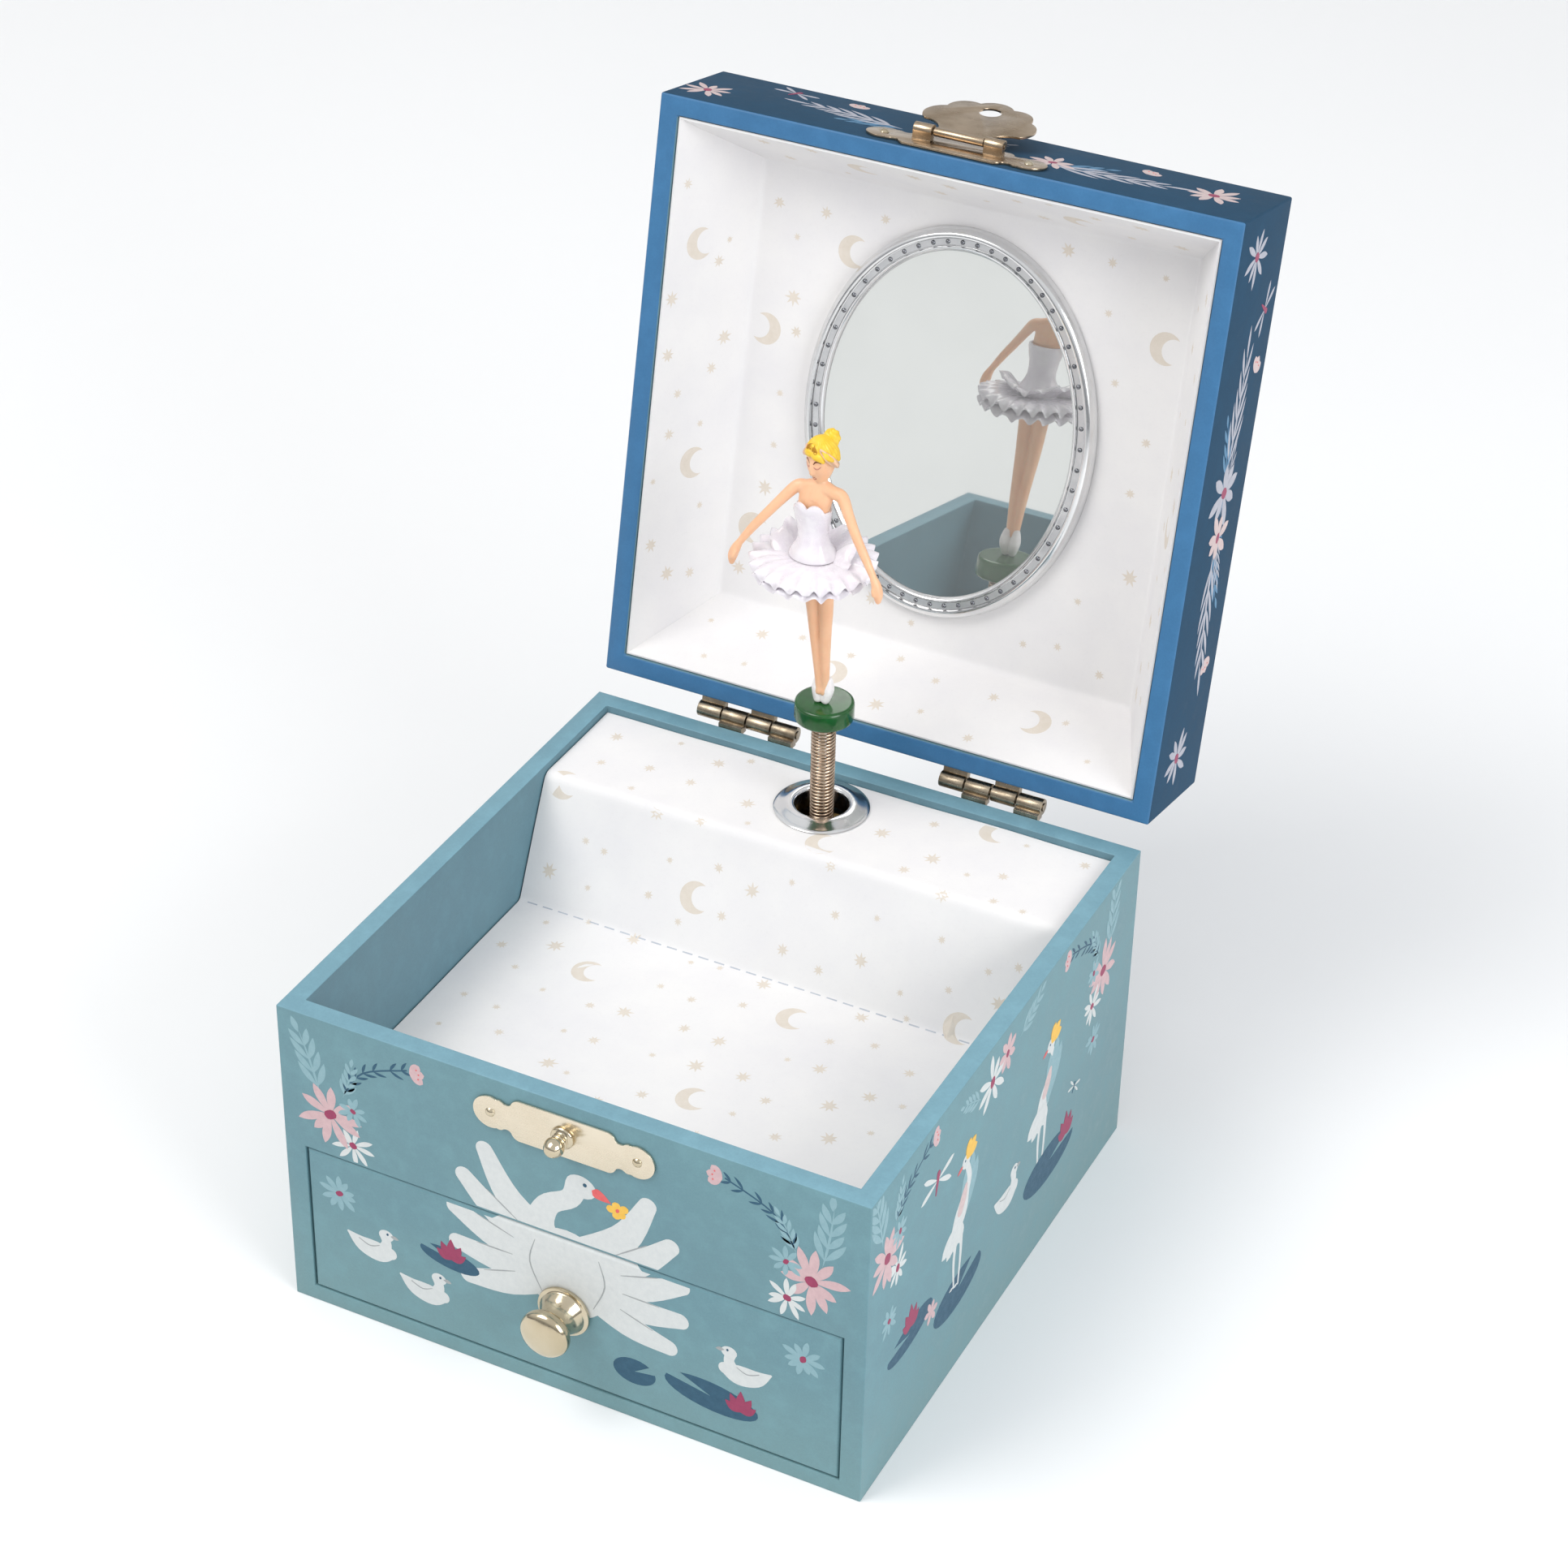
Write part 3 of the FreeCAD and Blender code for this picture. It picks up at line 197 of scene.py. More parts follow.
def metal(name, tone, other, rough=0.2, scratch=0.3, stretch=(1, 1, 1), patch=90, aniso=0.0):
    """Plated or bare metal with faint scratches, smudges and a tone that drifts."""
    made, tree, where = material(name, Metallic=1.0, Anisotropic=aniso)
    long = add(tree, "Mapping", {"Vector": where, "Scale": stretch}).outputs[0]
    lines = noise(tree, long, 1800, 3, 0.7)
    smudge = noise(tree, where, patch, 4, 0.6)
    colour = mix(tree, ramp(tree, smudge, 0.35, 0.68), srgb(*tone), srgb(*other))
    wear = add(tree, "Math", {0: lines, 1: smudge}, operation="MULTIPLY").outputs[0]
    rough_map = ramp(tree, wear, 0.1, 0.5, rough * 0.7, rough * 1.5)
    finish_shader(tree, colour, rough_map, lines, scratch, 0.00001)
    return made


def paint(name, tone, other=None, rough=0.5, texture=0.22):
    """Printed gouache: brushy streaks of a lighter tone."""
    other = other or [min(255, v * 1.08 + 6) for v in tone]
    made, tree, where = material(name, Coat_Weight=0.1, Coat_Roughness=0.35, Specular_IOR_Level=0.35)
    brush = noise(tree, where, 700, 5, 0.7)
    colour = mix(tree, ramp(tree, brush, 0.35, 0.7), srgb(*tone), srgb(*other))
    uneven = ramp(tree, brush, 0.3, 0.7, rough - 0.06, rough + 0.06)
    finish_shader(tree, colour, uneven, brush, texture, 0.00001)
    return made


def moulded(name, tone, other, rough=0.35, soft=0.0, coat=0.0, glow=(1.0, 0.4, 0.25), patch=260):
    """Moulded plastic: slight cloudiness and a faint orange-peel surface."""
    made, tree, where = material(
        name, Subsurface_Weight=soft, Subsurface_Scale=0.0012, Subsurface_Radius=glow,
        Coat_Weight=coat, Coat_Roughness=0.12,
    )
    cloud = noise(tree, where, patch, 4, 0.6)
    peel = noise(tree, where, 900, 2, 0.5)
    colour = mix(tree, ramp(tree, cloud, 0.35, 0.68), srgb(*tone), srgb(*other))
    finish_shader(tree, colour, ramp(tree, cloud, 0.3, 0.7, rough - 0.06, rough + 0.08), peel, 0.12, 0.00004)
    return made


def looking_glass():
    """Silvered mirror with barely visible haze."""
    made, tree, where = material("mirror_silver", Metallic=0.82)
    haze = noise(tree, where, 35, 4, 0.6)
    colour = mix(tree, ramp(tree, haze, 0.3, 0.7), srgb(207, 209, 207), srgb(202, 204, 202))
    finish_shader(tree, colour, ramp(tree, haze, 0.3, 0.75, 0.01, 0.025))
    facing = add(tree, "NewGeometry").outputs["Normal"]
    bow = (math.radians(4.6), 0, math.radians(-1.5))
    bowed = add(tree, "VectorRotate", {"Vector": facing, "Rotation": bow}, rotation_type="EULER_XYZ")
    tree.links.new(bowed.outputs[0], tree.nodes["Principled BSDF"].inputs["Normal"])
    return made


CASE = printed_paper("case_paper", (99, 137, 145), (95, 133, 143), (107, 143, 148))
# Lighter copy of the case paper for the top faces of the walls: painted light, the lit top drawn into the
# colour.
CASE_RIM_LIT = printed_paper("case_rim_paper_painted_light", (112, 152, 166), (108, 148, 163), rough=0.5)
# Darker copy of the case paper for the faces inside the walls of the case and the lid: painted shade.
CASE_INSIDE_SHADED = printed_paper("case_inside_paper_painted_shade", (93, 127, 139), (89, 123, 136), rough=0.55)
LID = printed_paper("lid_paper", (44, 73, 97), (41, 70, 93), rough=0.65, gloss=0.06)
LID_RIM = printed_paper("lid_rim_paper", (52, 106, 149), (50, 102, 145), rough=0.48)
LINING = card("lining_card", (232, 230, 229), (226, 224, 225), 0.10)
BOARD = card("grey_board", (158, 148, 130), (146, 136, 120), 0.35)
WHITE_PAPER = card("drawer_paper", (240, 238, 235), (232, 230, 227), 0.10, 0.6)
UNDERSIDE = card("underside_paper", (92, 132, 150), (84, 122, 141), 0.15, 0.6)
GOLD = metal("pale_gold", (208, 196, 172), (190, 176, 148), 0.15, 0.12, (1, 1, 1), 70)
BRUSHED_GOLD = metal("brushed_pale_gold", (224, 213, 193), (212, 200, 178), 0.26, 0.35, (0.08, 1, 1), 60)
NICKEL = metal("aged_nickel", (176, 163, 143), (128, 114, 96), 0.3, 0.7, (1, 1, 0.06), 260)
CHROME = metal("bright_chrome", (230, 230, 230), (214, 215, 216), 0.17, 0.08, (1, 1, 1), 60)
SATIN = metal("satin_chrome", (226, 226, 227), (212, 213, 215), 0.36, 0.4, (1, 1, 1), 300)
# Far darker chrome than the frame's for the beads: a painted dark reflection.
BEAD = metal("bead_chrome_painted_reflection", (132, 133, 137), (104, 106, 111), 0.14, 0.2, (1, 1, 1), 200)
# Darker gold for the hasp's plate and flap: painted shade, for how dark the plate looks seen edge-on.
GOLD_PAINTED_SHADE = metal("gold_painted_shade", (196, 176, 152), (160, 140, 116), 0.24, 0.4, (0.1, 1, 1), 90)
ZINC = metal("zinc_casting", (168, 168, 170), (148, 148, 151), 0.42, 0.8, (1, 1, 1), 200)
STEEL = metal("spring_steel", (150, 150, 154), (118, 118, 124), 0.28, 0.5, (1, 0.1, 1), 160)
BRASS = metal("wheel_brass", (206, 168, 96), (182, 144, 78), 0.27, 0.4, (1, 1, 0.1), 120)
WIRE = metal("spring_wire", (212, 190, 168), (176, 152, 130), 0.2, 0.3, (0.2, 0.2, 1), 500)
SILVER = looking_glass()
GREEN = moulded("stand_green", (22, 88, 32), (18, 74, 26), 0.16, 0.3, 0.25, (0.15, 0.6, 0.2))
SKIN = moulded("dancer_skin", (238, 190, 152), (234, 182, 143), 0.40, 0.25, 0.15)
DRESS = moulded("dancer_dress", (236, 232, 236), (225, 218, 226), 0.24, 0.15, 0.5, (0.8, 0.75, 0.8), 420)
SHOES = moulded("dancer_slippers", (243, 240, 238), (228, 222, 222), 0.35, 0.2, 0.3, (0.8, 0.75, 0.8), 700)
HAIR = moulded("dancer_hair", (243, 205, 62), (232, 186, 36), 0.42, 0.1, 0.1, (0.9, 0.6, 0.1), 800)
HAIRBAND = moulded("dancer_hairband", (246, 204, 172), (240, 190, 156), 0.4, 0.15, 0.1)
CURL = paint("curl_brown", (170, 116, 22), (196, 140, 34))
BROW = paint("brow_brown", (112, 62, 40), (132, 78, 50))
LIPS = paint("lips_red", (150, 52, 52), (166, 64, 62))
BLUSH = paint("eyelid_shadow", (196, 128, 112), (206, 140, 124))
# Grey-blue of the perforation's slits: painted shadow.
SLIT_SHADE = paint("perforation_shadow", (186, 190, 198), (170, 175, 186))

INKS = {
    "white": paint("ink_white", (208, 211, 210), (199, 203, 203)),
    "pale": paint("ink_pale", (136, 170, 178), (126, 162, 171)),
    "pink": paint("ink_pink", (204, 174, 176), (192, 161, 165)),
    "maroon": paint("ink_maroon", (140, 44, 82), (156, 56, 92)),
    "navy": paint("ink_navy", (38, 84, 108), (30, 74, 98)),
    "yellow": paint("ink_yellow", (226, 176, 66), (236, 192, 88)),
    "coral": paint("ink_coral", (212, 86, 88), (222, 104, 102)),
    "grey": paint("ink_grey", (160, 164, 164), (148, 152, 154)),
    "silver": paint("ink_silver", (176, 176, 186), (164, 166, 178)),
    "rose": paint("ink_rose", (206, 186, 184), (196, 174, 174)),
    "steel": paint("ink_steel", (78, 130, 166), (70, 120, 156)),
    "beige": paint("ink_beige", (219, 210, 199), (213, 203, 190), 0.6, 0.1),
}


# ---- mesh helpers ----
def piece(name, bm, body, paints, replaces=(), sharp=35, place=FLAT, pick=None, outward=True):
    """Makes a piece from a mesh in millimetres; pick gives a face's place in the list of materials."""
    if outward:
        bmesh.ops.recalc_face_normals(bm, faces=bm.faces)
    if pick:
        for face in bm.faces:
            face.material_index = pick(face)
    mesh = bpy.data.meshes.new(name)
    bm.to_mesh(mesh)
    bm.free()
    mesh.transform(Matrix.Scale(MM, 4) @ place)
    for used in paints if isinstance(paints, (list, tuple)) else [paints]:
        mesh.materials.append(used)
    mesh.shade_smooth()
    mesh.set_sharp_from_angle(angle=math.radians(sharp))
    obj = bpy.data.objects.new(name, mesh)
    scene.collection.objects.link(obj)
    if body:
        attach(obj, body)
    if replaces:
        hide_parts(*replaces)
    return obj


def block(x0, x1, y0, y1, z0, z1):
    bm = bmesh.new()
    size = Vector((x1 - x0, y1 - y0, z1 - z0))
    middle = Vector((x0 + x1, y0 + y1, z0 + z1)) / 2
    bmesh.ops.create_cube(bm, size=1, matrix=Matrix.Translation(middle) @ Matrix.Diagonal((*size, 1)))
    return bm


def round_edges(bm, width, angle=30, segments=3, only=None):
    """Rounds the edges whose faces meet at more than angle."""
    bm.normal_update()
    edges = [e for e in bm.edges if e.is_manifold and e.calc_face_angle(0) > math.radians(angle)]
    if only:
        edges = [e for e in edges if only(e)]
    bmesh.ops.bevel(
        bm, geom=edges, offset=width, offset_type="OFFSET", segments=segments, profile=0.5,
        affect="EDGES", clamp_overlap=True,
    )
    return bm


def carve(bm, cutters, merge=True):
    """bm minus the cutters, by the exact boolean solver; merge joins faces that lie in one plane."""
    temporary = []
    for part in [bm] + cutters:
        mesh = bpy.data.meshes.new("carving")
        bmesh.ops.recalc_face_normals(part, faces=part.faces)
        part.to_mesh(mesh)
        part.free()
        obj = bpy.data.objects.new("carving", mesh)
        scene.collection.objects.link(obj)
        temporary.append(obj)
    target = temporary[0]
    for cutter in temporary[1:]:
        modifier = target.modifiers.new("cut", "BOOLEAN")
        modifier.operation = "DIFFERENCE"
        modifier.solver = "EXACT"
        modifier.object = cutter
    graph = bpy.context.evaluated_depsgraph_get()
    result = bmesh.new()
    result.from_mesh(target.evaluated_get(graph).to_mesh())
    for obj in temporary:
        bpy.data.objects.remove(obj)
    if merge:
        flat = math.radians(0.5)
        bmesh.ops.dissolve_limit(result, angle_limit=flat, verts=result.verts, edges=result.edges)
    return result


def peg(radius, start, direction, length, sides=48):
    """Cylinder, for holes."""
    bm = bmesh.new()
    turn = direction.to_track_quat("Z", "Y").to_matrix().to_4x4()
    middle = Vector(start) + direction * length / 2
    bmesh.ops.create_cone(
        bm, cap_ends=True, segments=sides, radius1=radius, radius2=radius, depth=length,
        matrix=Matrix.Translation(middle) @ turn,
    )
    return bm


def bridge(bm, rings, closed_path=False, caps=True):
    """Skin over rings of equal numbers of points."""
    rows = [[bm.verts.new(p) for p in ring] for ring in rings]
    pairs = list(zip(rows, rows[1:])) + ([(rows[-1], rows[0])] if closed_path else [])
    for a, b in pairs:
        for i in range(len(a)):
            j = (i + 1) % len(a)
            bm.faces.new((a[i], a[j], b[j], b[i]))
    if caps and not closed_path:
        bm.faces.new(rows[0][::-1])
        bm.faces.new(rows[-1])
    return rows


def through(points, steps=6, closed=False):
    """Smooth curve through the points (Catmull-Rom), as a list of vectors."""
    points = [Vector(p) for p in points]
    count = len(points)
    out = []
    for i in range(count if closed else count - 1):
        if closed:
            a, b, c, d = (points[(i + k) % count] for k in (-1, 0, 1, 2))
        else:
            a, b, c, d = (points[min(max(i + k, 0), count - 1)] for k in (-1, 0, 1, 2))
        for k in range(steps):
            t = k / steps
            out.append(0.5 * (2 * b + (c - a) * t + (2 * a - 5 * b + 4 * c - d) * t * t
                              + (3 * b - a - 3 * c + d) * t ** 3))
    if not closed:
        out.append(points[-1])
    return out


def lathe(bm, profile, base, direction, sides=64):
    """Closed solid of revolution; profile points are (radius, height), from the axis round to the axis."""
    turn = direction.to_track_quat("Z", "Y")
    base = Vector(base)

    def at(r, h, angle):
        return base + turn @ Vector((r * math.cos(angle), r * math.sin(angle), h))

    poles = [bm.verts.new(at(0, profile[i][1], 0)) for i in (0, -1)]
    inner = [p for p in profile if p[0] > 1e-6]
    rings = [[at(r, h, TAU * k / sides) for k in range(sides)] for r, h in inner]
    rows = bridge(bm, rings, caps=False)
    for k in range(sides):
        bm.faces.new((poles[0], rows[0][(k + 1) % sides], rows[0][k]))
        bm.faces.new((poles[1], rows[-1][k], rows[-1][(k + 1) % sides]))
    return bm


def ring_lathe(bm, profile, base, direction, sides=96):
    """Closed ring of revolution from a closed (radius, height) profile."""
    turn = direction.to_track_quat("Z", "Y")
    rings = []
    for k in range(sides):
        angle = TAU * k / sides
        ring = [Vector((r * math.cos(angle), r * math.sin(angle), h)) for r, h in profile]
        rings.append([Vector(base) + turn @ spot for spot in ring])
    bridge(bm, rings, closed_path=True)
    return bm


def limb(path, radii, sides=16, steps=5, side_axis=X_AXIS):
    """Rings of a tapering limb with round ends, on a smooth path; radii are (along side_axis, across it)."""
    centres = through(path, steps)
    sizes = through([(a, b, 0) for a, b in radii], steps)
    rings = []
    for i, centre in enumerate(centres):
        ahead = (centres[min(i + 1, len(centres) - 1)] - centres[max(i - 1, 0)]).normalized()
        across = (side_axis - ahead * side_axis.dot(ahead)).normalized()
        other = ahead.cross(across)
        wide = across * sizes[i].x
        deep = other * sizes[i].y
        turns = [TAU * k / sides for k in range(sides)]
        rings.append([centre + wide * math.cos(t) + deep * math.sin(t) for t in turns])
    for end, inner in ((0, 1), (-1, -2)):
        centre = centres[end]
        outward = (centre - centres[inner]).normalized()
        reach = min(sizes[end].x, sizes[end].y)
        caps = []
        for angle in (0.6, 1.15):
            shrunk = [centre + (p - centre) * math.cos(angle) for p in rings[end]]
            caps.append([p + outward * reach * math.sin(angle) for p in shrunk])
        rings = caps[::-1] + rings if end == 0 else rings + caps
    return rings


def fused(bm, voxel, smoothing):
    """One closed skin round the overlapping shapes in bm."""
    mesh = bpy.data.meshes.new("fusing")
    bmesh.ops.recalc_face_normals(bm, faces=bm.faces)
    bm.to_mesh(mesh)
    bm.free()
    obj = bpy.data.objects.new("fusing", mesh)
    scene.collection.objects.link(obj)
    remesh = obj.modifiers.new("remesh", "REMESH")
    remesh.mode = "VOXEL"
    remesh.voxel_size = voxel
    smooth = obj.modifiers.new("smooth", "SMOOTH")
    smooth.iterations = smoothing
    smooth.factor = 0.5
    result = bmesh.new()
    result.from_mesh(obj.evaluated_get(bpy.context.evaluated_depsgraph_get()).to_mesh())
    bpy.data.objects.remove(obj)
    return result


def softened(node, width, paints, body, segments=2, angle=30, sharp=30, pick=None, name=None):
    """A CAD node's welded copy with lightly rounded edges, which replaces it."""
    bm = bmesh.new()
    bm.from_mesh(frame["nodes"][node].data)
    bm.transform(Matrix.Scale(1 / MM, 4))
    bmesh.ops.remove_doubles(bm, verts=bm.verts, dist=0.0005)
    bmesh.ops.dissolve_limit(bm, angle_limit=math.radians(1), verts=bm.verts, edges=bm.edges)
    round_edges(bm, width, angle, segments)
    return piece(name or "soft_" + node, bm, body, paints, (node,), sharp, pick=pick, outward=False)


def dress_node(node, paints):
    """Gives a shown CAD node its material."""
    mesh = frame["nodes"][node].data
    mesh.materials.clear()
    mesh.materials.append(paints)


# ---- covered case and lid ----
def case_shell():
    """The four papered walls of the base as one wrapped piece, with the drawer's opening."""
    half = drawer_high.x + GAP
    arbor_low, arbor_high = span("winding_arbor")
    key_spot = ((arbor_low + arbor_high) / 2).xz
    cutters = [
        block(-INNER, INNER, -INNER, INNER, -1, BASE_H + 1),
        block(-half, half, -HALF - 1, -INNER + 1, drawer_low.z - 0.2, drawer_high.z + 0.25),
        peg(2.4, (key_spot.x, INNER - 1, key_spot.y), Y_AXIS, WALL + 2),
    ]
    shell = carve(block(-PAPER_HALF, PAPER_HALF, -PAPER_HALF, PAPER_HALF, 0, BASE_H), cutters)
    round_edges(shell, PAPER_ROUND)

    # Top faces take the lighter rim paper, painted light; faces inside the walls take the darker inside
    # paper, painted shade.
    def surface(face):
        spot = face.calc_center_median()
        if spot.z > BASE_H - 0.6 and face.normal.z > 0.4:
            return 1
        return 2 if max(abs(spot.x), abs(spot.y)) < INNER + 0.3 else 0

    walls = ["base_front_panel", "base_back_panel", "base_left_panel", "base_right_panel"]
    piece("case_shell", shell, "case", [CASE, CASE_RIM_LIT, CASE_INSIDE_SHADED], walls, pick=surface,
          outward=False)


def lid_shell():
    """The lid's top and walls as one wrapped piece, made closed and swung open."""
    inside = span("lid_top_panel", CLOSED)[0].z
    shell = block(-PAPER_HALF, PAPER_HALF, -PAPER_HALF, PAPER_HALF, LID_Z, LID_TOP - PAPER_GAP)
    shell = carve(shell, [block(-INNER, INNER, -INNER, INNER, LID_Z - 1, inside)])
    round_edges(shell, PAPER_ROUND)

    # Faces inside the lid take the darker inside paper, painted shade.
    def surface(face):
        spot = face.calc_center_median()
        if spot.z < LID_Z + 0.6 and face.normal.z < -0.4:
            return 1
        return 2 if max(abs(spot.x), abs(spot.y)) < INNER + 0.3 and spot.z < inside + 0.1 else 0

    walls = ["lid_top_panel", "lid_front_panel", "lid_back_panel", "lid_left_panel", "lid_right_panel"]
    piece("lid_shell", shell, "lid", [LID, LID_RIM, CASE_INSIDE_SHADED], walls, place=OPENED,
          pick=surface, outward=False)


def underside_sheet():
    """The bottom board with its backing paper, a little short of the walls."""
    low, high = span("base_bottom_panel")
    gap = 0.1
    board = block(low.x + gap, high.x - gap, low.y + gap, high.y - gap, low.z + 0.15, high.z)
    piece("bottom_board", round_edges(board, 0.4), "case", UNDERSIDE, ["base_bottom_panel"])


# ---- folded card linings ----
def waviness(u, v):
    """Slight unevenness of hand-folded card."""
    return 0.09 * math.sin(u / 9 + 1.0) * math.cos(v / 13) + 0.05 * math.sin(u / 4.3 + v / 6.5)


class Fold:
    """Outline of a folded card seen from its side, with rounded folds, read by the length along it."""

    def __init__(self, corners, radii, step=0.8):
        corners = [Vector(c) for c in corners]
        points = [corners[0]]
        for before, corner, after, radius in zip(corners, corners[1:], corners[2:], radii):
            a = corner + (before - corner).normalized() * radius
            b = corner + (after - corner).normalized() * radius
            for t in (0, 0.25, 0.5, 0.75, 1):
                points.append((1 - t) ** 2 * a + 2 * t * (1 - t) * corner + t * t * b)
        points.append(corners[-1])
        self.points = [points[0]]
        for a, b in zip(points, points[1:]):
            parts = max(1, round((b - a).length / step))
            self.points += [a.lerp(b, k / parts) for k in range(1, parts + 1)]
        self.lengths = [0.0]
        for a, b in zip(self.points, self.points[1:]):
            self.lengths.append(self.lengths[-1] + (b - a).length)

    def normal(self, i):
        along = self.points[min(i + 1, len(self.points) - 1)] - self.points[max(i - 1, 0)]
        return Vector((-along.y, along.x)).normalized()

    def at(self, length, height):
        """Point at a length along the card and a height over it."""
        i = 0
        while i < len(self.lengths) - 2 and self.lengths[i + 1] < length:
            i += 1
        share = (length - self.lengths[i]) / (self.lengths[i + 1] - self.lengths[i])
        normal = self.normal(i).lerp(self.normal(i + 1), min(max(share, 0), 1))
        return self.points[i].lerp(self.points[i + 1], share) + normal * height


TRAY_FOLD = Fold(
    [(-INNER + 0.3, TRAY_Z), (CREASE_Y, TRAY_Z), (SHELF_EDGE_Y, SHELF_Z), (INNER - 0.2, SHELF_Z)], (0.9, 1.5))
LID_SLOPE = math.dist((INNER - 0.6, back_low.z), (LINING_BACK_HALF, LINING_BACK_Z))
LID_FOLD = Fold([(INNER - 0.6, back_low.z), (LINING_BACK_HALF, LINING_BACK_Z), (2.0, LINING_BACK_Z)], (0.8,))


# Dashes of the perforated crease between the tray's floor and slope, painted as the shadow in its slits.
DASH_COUNT = 31
DASH_HALF_LENGTH = 1.1
DASH_HALF_WIDTH = 0.14


def tray_point(u, v, height):
    spot = TRAY_FOLD.at(v, height + waviness(u, v))
    return Vector((u, spot.x, spot.y))


def tray_card():
    """Tray floor, slope and shelf, folded from one card, with the eyelet's hole."""
    half = INNER - 0.3
    columns = [-half + 2 * half * k / 70 for k in range(71)]
    rings = []
    for u in columns:
        top = [tray_point(u, v, 0) for v in TRAY_FOLD.lengths]
        under = [tray_point(u, v, -CARD * 0.9) for v in TRAY_FOLD.lengths]
        rings.append(top + under[::-1])
    sheet = bmesh.new()
    bridge(sheet, rings)
    sheet = carve(sheet, [peg(6.0, (SPIN.x, SPIN.y, SHELF_Z - 3), Z_AXIS, 6)], merge=False)
    piece("tray_card", sheet, "case", LINING, ["tray_lining"], sharp=50)
    perforation = bmesh.new()
    nearest = min(range(len(TRAY_FOLD.points)), key=lambda i: abs(TRAY_FOLD.points[i].x - CREASE_Y))
    low = TRAY_FOLD.lengths[nearest] - DASH_HALF_WIDTH
    high = TRAY_FOLD.lengths[nearest] + DASH_HALF_WIDTH
    for k in range(DASH_COUNT):
        middle = -half + 3 + k * (2 * half - 6) / (DASH_COUNT - 1)
        start = middle - DASH_HALF_LENGTH
        end = middle + DASH_HALF_LENGTH
        slab(perforation, [(start, low), (end, low), (end, high), (start, high)], tray_point, 0.03)
    piece("tray_perforation_shadow", perforation, "case", SLIT_SHADE)


def lid_card_point(side, share, distance, height):
    """Point of the lid's lining: share from -1 to 1 along one side, distance from the rim down the slope."""
    rise = waviness(share * 50 + side * 17, distance) * min(1, distance / 6)
    rise *= min(1, max(0, (LID_SLOPE - distance) / 6))
    half, z = LID_FOLD.at(distance, height + rise)
    spot = Vector((share * half, -half, 0))
    spot.rotate(Matrix.Rotation(side * TAU / 4, 3, "Z"))
    return Vector((spot.x, spot.y, z))


def lid_card():
    """Card tray in the lid: four sloping sides and a flat back, made as square loops from the rim inward."""
    per_side = 36

    def loop(distance, height):
        return [lid_card_point(side, 2 * k / per_side - 1, distance, height) for side in range(4)
                for k in range(per_side)]

    inner = [loop(d, 0) for d in LID_FOLD.lengths]
    outer = [loop(d, -CARD * 0.9) for d in LID_FOLD.lengths]
    sheet = bmesh.new()
    bridge(sheet, inner[::-1] + outer)
    bmesh.ops.recalc_face_normals(sheet, faces=sheet.faces)
    piece("lid_card", sheet, "lid", LINING, ["lid_lining"], sharp=40, place=OPENED)


# ---- mirror ----
def mirror_oval(angle, inset, height, lift=0.0):
    """Point of the mirror's frame, inset from its outer edge, as it lies in the closed lid."""
    a = (mirror_high.x - mirror_low.x) / 2
    b = (mirror_high.y - mirror_low.y) / 2
    middle = (mirror_low + mirror_high) / 2
    edge = Vector((a * math.cos(angle), b * math.sin(angle)))
    outward = Vector((edge.x / a ** 2, edge.y / b ** 2)).normalized()
    spot = edge - outward * inset
    return Vector((middle.x + spot.x, middle.y + spot.y, LINING_BACK_Z - height - lift))


CHANNEL_DEPTH = 2.1
BEAD_COUNT = 56


def mirror_frame():
    """Bright beaded frame, swept round the oval; its profile points are (inset, height)."""
    profile = [
        (0.25, 0.0), (0.0, 0.5), (0.05, 1.2), (0.25, 1.75), (0.65, 2.35), (1.15, 2.75), (1.6, 2.9),
        (1.95, 2.8), (2.05, 2.5), (2.08, 1.9), (2.2, 1.88), (2.25, CHANNEL_DEPTH), (3.5, CHANNEL_DEPTH),
        (3.55, 1.9), (3.68, 1.9), (3.72, 2.45), (3.85, 2.62), (4.1, 2.62), (4.3, 2.4), (4.5, 2.15),
        (4.66, 1.95), (4.7, 1.87), (3.4, 1.84), (3.4, 0.0),
    ]
    bm = bmesh.new()
    rings = [[mirror_oval(TAU * k / 192, inset, height) for inset, height in profile] for k in range(192)]
    bridge(bm, rings, closed_path=True)

    def channel(face):
        level = LINING_BACK_Z - face.calc_center_median().z
        return 1 if abs(level - CHANNEL_DEPTH) < 0.01 and abs(face.normal.z) > 0.9 else 0

    piece("mirror_rim", bm, "lid", [CHROME, SATIN], ["mirror_frame"], sharp=50, place=OPENED,
          pick=channel)
    beads = bmesh.new()
    for k in range(BEAD_COUNT):
        spot = mirror_oval(TAU * (k + 0.5) / BEAD_COUNT, 2.87, 2.02)
        bmesh.ops.create_icosphere(beads, subdivisions=3, radius=0.5, matrix=Matrix.Translation(spot))
    # The beads take the darkened chrome, a painted dark reflection.
    piece("mirror_beads", beads, "lid", BEAD, sharp=180, place=OPENED)


def mirror_plate():
    """Silvered plate behind the frame, with a ground edge."""
    bm = bmesh.new()
    profile = [(3.6, 0.88), (3.5, 0.98), (3.5, 1.72), (3.6, 1.82)]
    rings = [[mirror_oval(TAU * k / 128, inset, height) for k in range(128)] for inset, height in profile]
    bridge(bm, rings)
    piece("mirror_plate", bm, "lid", SILVER, ["mirror_glass"], sharp=30, place=OPENED)


# ---- hardware ----
def dome(r, h, rise, steps=8):
    """Profile points of a round cap from (r, h) to the axis."""
    sphere = (r * r + rise * rise) / (2 * rise)
    widest = math.asin(r / sphere)
    turns = [widest * (1 - k / steps) for k in range(steps + 1)]
    return [(sphere * math.sin(t), h + rise - sphere * (1 - math.cos(t))) for t in turns]


def soft_profile(points, steps=5):
    return [(p.x, p.y) for p in through([(r, h, 0) for r, h in points], steps)]


